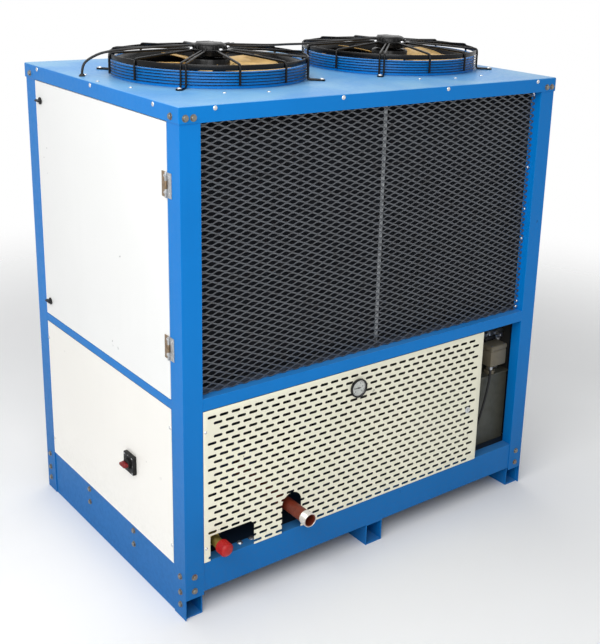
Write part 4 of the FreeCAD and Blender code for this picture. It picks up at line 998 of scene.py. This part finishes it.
def gauge():
    x, z = gauge_at
    first_mark = -45
    major = 5
    case = [(0, -519), (27.6, -519), (28, -519.4), (28, -525.6), (29.4, -527), (31.6, -527), (33, -525.4),
            (33, -519), (32, -517), (30, -517), (30, -491), (28, -489), (7, -489), (7, -459), (0, -459)]
    dress(turned("gauge_bezel", "Y", gauge_at, case, 72), black, "black_plastic", "gauge_case")
    face = turned("gauge_dial", "Y", gauge_at, [(0, -519.2), (27.4, -519.2), (27.4, -519), (0, -519)], 64)
    dress(face, dial_white, "black_plastic")
    marks = []
    for k in range(51):
        inner, wide = (21.4, 0.45) if k % major == 0 else (23.2, 0.22)
        tick = slab("tick", (-25.2, -inner), (-519.34, -519.2), (-wide, wide))
        turn = Matrix.Rotation(radians(first_mark + 5.4 * k), 4, "Y")
        tick.data.transform(Matrix.Translation((x, 0, z)) @ turn)
        marks.append(tick)
    for k in range(6):
        turn = radians(first_mark + 54 * k)
        place = (x - 17.2 * cos(turn), -519.3, z + 17.2 * sin(turn))
        marks.append(digit("figure", str(2 * k), 6.2, place, (pi / 2, 0, 0)))
    marks.append(turned("pivot", "Y", gauge_at, [(0, -522), (1.2, -522), (1.2, -519), (0, -519)], 16))
    dress(joined("gauge_scale", marks), dial_ink, "black_plastic")
    outline = [(8, -1.5), (-20, -0.35), (-20, 0.35), (8, 1.5)]
    arm = plate("gauge_pointer", [(x + a, -521.4, z + b) for a, b in outline], (0, 0.7, 0))
    hub = [(1.26, -521.6), (2.6, -521.6), (3, -521.2), (3, -520.2), (1.26, -520.2), (1.26, -521.6)]
    boss = turned("boss", "Y", gauge_at, hub, 24)
    dress(joined("gauge_pointer", [arm, boss]), dial_ink, "steel_bright", "gauge_needle", body="gauge_needle")
    glass = [(0, -526), (14, -525.8), (27.9, -525), (27.9, -524), (0, -524)]
    dress(turned("gauge_lens", "Y", gauge_at, glass, 48), window, "glass", "gauge_glass")


gauge()


def panel_lock():
    barrel = [(0, -520.4), (7.4, -520.4), (7.8, -521), (10.8, -521), (12, -520), (12, -517), (8, -517),
              (8, -488), (0, -488)]
    head = turned("lock_barrel", "Y", lock_at, barrel, 40)
    carved(head, slab("key", (428.6, 431.4), (-523, -518.6), (394.5, 405.5)))
    cam = bevelled(slab("lock_cam", (430, 472), (-491, -489), (392, 408)), 0.6, 2)
    dress(joined("lock_barrel", [head, cam]), bright, "steel_bright", "panel_lock", body="panel_lock")


panel_lock()


# Pipe ends


def thread(outer, root, low, high, rise):
    """The profile of a pipe thread between two places along its axis."""
    points = []
    along = low
    while along < high - rise:
        points += [(root, along), (outer, along + rise * 0.45), (outer, along + rise * 0.55)]
        along += rise
    return [*points, (root, high)]


tail = [(20.4, -591), (21.2, -590.2), (21.2, -226), (25, -226), (26.2, -224.8), (26.2, -191), (25, -190),
        (18, -196), (18, -618), (18.6, -618.4), (20.4, -618.4), (20.4, -591)]
dress(turned("outlet_tube", "Y", outlet, tail, 64), primer, "pipe_paint", "outlet_pipe")
end = [(20.5, -619.4), (20.9, -620), (22.6, -620), (23.2, -619.2), *thread(23.6, 22.6, -617.5, -591, 2.3),
       (22.6, -590), (21.2, -590), (20.5, -590.4), (20.5, -619.4)]
dress(turned("outlet_collar", "Y", outlet, end, 64), threaded, "steel_bright")


def fitting():
    """A brass nipple with a thread under the cap, a hexagon and the run to its flange."""
    nipple = [(11.8, -569), (15.4, -569), *thread(16.8, 15.4, -568.6, -536, 2.3), (15.9, -535), (16.6, -530),
              (16.6, -492), (19.5, -490), (19.5, -456), (14.8, -452), (14.8, -256), (28.8, -256),
              (28.8, -250), (11.8, -250), (11.8, -569)]
    body = turned("nipple", "Y", inlet, nipple, 48)
    nut = drum("nut", "Y", inlet, 23.8, -487, -459, 6, radians(30))
    ends = [(0, -487), (20.4, -487), (24, -484.6), (24, -461.4), (20.4, -459), (0, -459)]
    carved(nut, turned("crown", "Y", inlet, ends, 48), operation="INTERSECT")
    carved(nut, drum("bore", "Y", inlet, 16, -500, -440, 40))
    bevelled(nut, 0.5, 2)
    bracket = bevelled(slab("bracket", (-664, -604), (-254, -250.2), (179, 226)), 0.6, 1)
    dress(joined("inlet_nipple", [body, nut, bracket]), brass, "brass", "inlet_fitting")


fitting()


def cap():
    """The screw cap: a ribbed skirt under a domed end."""
    profile = [(0, -575), (6, -574.8), (11, -573.9), (15, -572.2), (18, -569.8), (20, -566.6), (21.2, -562.5),
               (21.2, -537), (21.8, -535.6), (21.8, -535), (16.95, -535), (16.95, -568), (0, -568)]
    shell = turned("cap", "Y", inlet, profile, 64)
    centre = spot("Y", inlet, 0)
    rib = bevelled(slab("rib", (20.4, 22.7), (-566, -536.4), (-1.3, 1.3)), 0.5, 2)
    rib.data.transform(Matrix.Translation(centre))
    ribs = all_round(rib, centre, "Y", 24)
    dress(joined("red_screw_cap", [shell, ribs]), red, "red_plastic", "fitting_cap", body="fitting_cap")


cap()


# Open bay: ball valve, level box and cable


lid_top = 466
riser = (690, -396)
valve_up = 612
stem_x = 676
box_x = 594
box_y = -466
box_low = 508


def ball_valve():
    """A riser from the tank's lid to a ball valve, whose lever turns in front of it."""
    x, y = riser
    along = (y, valve_up)
    pivot = (stem_x, valve_up)
    front = y - 34
    rise = [(0, lid_top), (10, lid_top), (10, valve_up - 14), (0, valve_up - 14)]
    pipe = turned("riser", "Z", riser, rise, 32)
    foot = bevelled(drum("riser_nut", "Z", riser, 15, lid_top, lid_top + 14, 6), 0.8, 2)
    under = bevelled(drum("under_nut", "Z", riser, 15, valve_up - 30, valve_up - 15, 6), 0.8, 2)
    casting = [(0, -44), (14.5, -44), (14.5, -22), (17, -16), (17.5, -4), (17, 8), (14, 14), (14, 22),
               (13, 24), (0, 24)]
    body = turned("valve_body", "X", along, casting, 40, x)
    collar = [(4.06, -27), (7, -27), (8, -25.4), (8, 0), (4.06, 0), (4.06, -27)]
    neck = turned("valve_neck", "Y", pivot, collar, 32, y)
    nut = bevelled(drum("valve_nut", "X", along, 20, x - 60, x - 44, 6), 0.9, 2)
    spigot = [(0, -110), *thread(11, 10, -110, -98, 2), (11, -98), (11, -60), (0, -60)]
    tail = turned("valve_tail", "X", along, spigot, 32, x)
    dress(joined("valve_and_riser", [pipe, foot, under, body, neck, nut, tail]), steel, "brass", "ball_valve")
    edge = [(10, 8), (-2, 9), (-18, 6), (-78, 7), (-82, 4)]
    outline = [*[(a, -b) for a, b in edge], *reversed(edge)]
    handle = plate("lever", [(stem_x + a, front, valve_up + b) for a, b in outline], (0, 3.4, 0))
    bevelled(handle, 0.8, 2)
    shank = [(0, -1.6), (3.6, -1.6), (5, -0.6), (5, 3.6), (4, 3.8), (4, 21), (0, 21)]
    stem = turned("stem", "Y", pivot, shank, 24, front)
    dress(joined("lever_arm", [handle, stem]), steel, "steel_bright", "valve_lever", body="valve_lever")
    sleeve = slab("lever_sleeve", (stem_x - 82, stem_x - 28), (front - 1.4, front + 4.6),
                  (valve_up - 7.8, valve_up + 7.8))
    dress(bevelled(sleeve, 2.4, 3), black, "black_plastic", body="valve_lever")


ball_valve()


def level_box():
    """A switch box on a neck screwed into the tank's lid, with a cable gland underneath."""
    parts = []
    for name, inset, low, high, fold, segments in (
        ("level_case", 1, 0, 62, 5, 4), ("level_cover", 0, 64, 83, 5, 4), ("level_seam", 4, 56, 70, 2, 1)
    ):
        part = slab(name, (box_x + inset, box_x + 84 - inset), (box_y + inset, box_y + 60 - inset),
                    (box_low + low, box_low + high))
        parts.append(bevelled(part, fold, segments))
    stub = (box_x + 40, box_y + 42)
    neck = turned("neck", "Z", stub, [(0, lid_top), (14, lid_top), (14, box_low + 3), (0, box_low + 3)], 32)
    clamp = bevelled(drum("neck_nut", "Z", stub, 22, lid_top, lid_top + 14, 6), 1, 2)
    dress(joined("level_switch_box", [*parts, neck, clamp]), aged, "grey_plastic", "level_box")
    sleeve = [(0, 0), (9, 0), (9, -5), (8, -6), (8, -11), (5.6, -14), (0, -14)]
    dress(turned("gland", "Z", (gland_x, gland_y), sleeve, 24, box_low), steel, "grey_plastic")
    screw = [(0, 83.6), (2.4, 83.5), (3.2, 82.8), (3.2, 82), (0, 82)]
    corners = [turned("corner_screw", "Z", (x, y), screw, 16, box_low)
               for x in (box_x + 9, box_x + 75) for y in (box_y + 9, box_y + 51)]
    dress(joined("level_box_screws", corners), bright, "zinc")


gland_x = box_x + 12
gland_y = box_y + 11
gland_low = box_low - 14
level_box()

cable_low = 186.8
comp_x = -60
comp_y = -170
drop = [(0, 0, 0), (0, 0, 20), (4, 0, 58), (14, 0, 104), (27, 0, 152), (43, 1, 202), (62, 3, 250)]
floor_run = [(86, 5, 18), (132, 6, 0), (206, 3, 1), (286, 7, 0), (406, 7, 0), (456, 58, -1), (488, 152, -2)]
bay_route = [*[(gland_x - x, gland_y + y, gland_low - z) for x, y, z in drop],
             *[(gland_x - x, gland_y + y, cable_low + z) for x, y, z in floor_run],
             (comp_x + 156, comp_y - 46, cable_low + 6), (comp_x + 124, comp_y, cable_low + 60),
             (comp_x + 124, comp_y, 347)]
cable("bay_cable_run", bay_route, 4.5, "bay_cable")

left_lead = [(-46.8, 27, 95.5), (-150, 66, 89.5), (-308, 107, 77.5), (-356, 119, 57.5), (-384, 125, 34),
             (-384, 125, 0)]
right_lead = [(-46.8, 27, 95.5), (-150, 66, 86.5), (-308, 102, 75), (-380, 108, 75.5)]
right_end = [(316, 104, 75), (150, 66, 86.5), (46.8, 27, 95.5)]
left_route = [(fan_left + x, y, tall + z) for x, y, z in left_lead]
right_route = [*[(fan_right + x, y, tall + z) for x, y, z in right_lead],
               *[(fan_left + x, y, tall + z) for x, y, z in right_end]]
cable("left_motor_lead", left_route, 4, "motor_leads")
cable("right_motor_lead", right_route, 4, "motor_leads")
grommet = [(4.2, 0), (10, 0), (10, 2), (8, 3.4), (7, 6.4), (6, 7.4), (4.2, 7.4), (4.2, 0)]
dress(turned("lead_grommet", "Z", (fan_left - 384, 125), grommet, 32, tall), rubber, "black_plastic")


# Pieces that keep their CAD shape

finishes = {"blue_paint": blue, "black_paint": gloss_black, "galvanised": galvanised, "copper": copper,
            "tank_plastic": shaded_tank_wall, "cast": cast, "steel_bright": steel}
for node in frame["nodes"].values():
    if not node.hide_render:
        for place in node.material_slots:
            place.material = finishes[place.material.name.split(".")[0]].material


# Floor, light and camera


def studio():
    scene = bpy.context.scene
    bpy.ops.mesh.primitive_plane_add(size=14)
    floor = settle("floor")
    ground = Finish("pale_floor", roughness=0.9)
    spread = ground.maths("SQRT", ground.x * ground.x + ground.y * ground.y)
    ground.color(ground.blend(ground.noise(3, 2), shade(250, 250, 250), shade(247, 247, 247)))
    ground.feed(ground.shader.inputs["Alpha"], ground.ramp(spread, 4.2, 1.6))
    floor.data.materials.append(ground.material)
    world = bpy.data.worlds.new("studio")
    world.use_nodes = True
    scene.world = world
    nodes = world.node_tree.nodes
    links = world.node_tree.links
    lit = nodes["Background"]
    lit.inputs["Color"].default_value = (0.96, 0.98, 1, 1)
    lit.inputs["Strength"].default_value = 0.35
    seen = nodes.new("ShaderNodeBackground")
    seen.inputs["Color"].default_value = (1, 1, 1, 1)
    path = nodes.new("ShaderNodeLightPath")
    direct = path.outputs["Is Camera Ray"]
    for kind in ("Is Glossy Ray", "Is Transmission Ray"):
        either = nodes.new("ShaderNodeMath")
        either.operation = "MAXIMUM"
        links.new(direct, either.inputs[0])
        links.new(path.outputs[kind], either.inputs[1])
        direct = either.outputs[0]
    mix = nodes.new("ShaderNodeMixShader")
    links.new(direct, mix.inputs[0])
    links.new(lit.outputs[0], mix.inputs[1])
    links.new(seen.outputs[0], mix.inputs[2])
    links.new(mix.outputs[0], nodes["World Output"].inputs["Surface"])
    for name, place, wide, power in (("key", (-3.4, -1.3, 3.5), 2.2, 78),
                                     ("front", (-2.1, -2.8, 2.8), 2.0, 58),
                                     ("above", (0.2, 0.8, 5.0), 2.6, 72)):
        lamp = bpy.data.lights.new(name, "AREA")
        lamp.size = wide
        lamp.energy = power
        light = bpy.data.objects.new(name, lamp)
        light.location = place
        light.rotation_euler = (Vector(place) - Vector((0, 0, 0.8))).to_track_quat("Z", "Y").to_euler()
        scene.collection.objects.link(light)
    camera = bpy.data.cameras.new("camera")
    camera.lens = 58.34
    camera.shift_x = -0.1
    camera.shift_y = -0.1
    viewer = bpy.data.objects.new("camera", camera)
    viewer.location = (-2.1272, -2.9542, 2.0533)
    viewer.rotation_euler = [radians(turn) for turn in (72.83, -2.216, -39.187)]
    scene.collection.objects.link(viewer)
    scene.camera = viewer
    scene.view_settings.view_transform = "Standard"


studio()
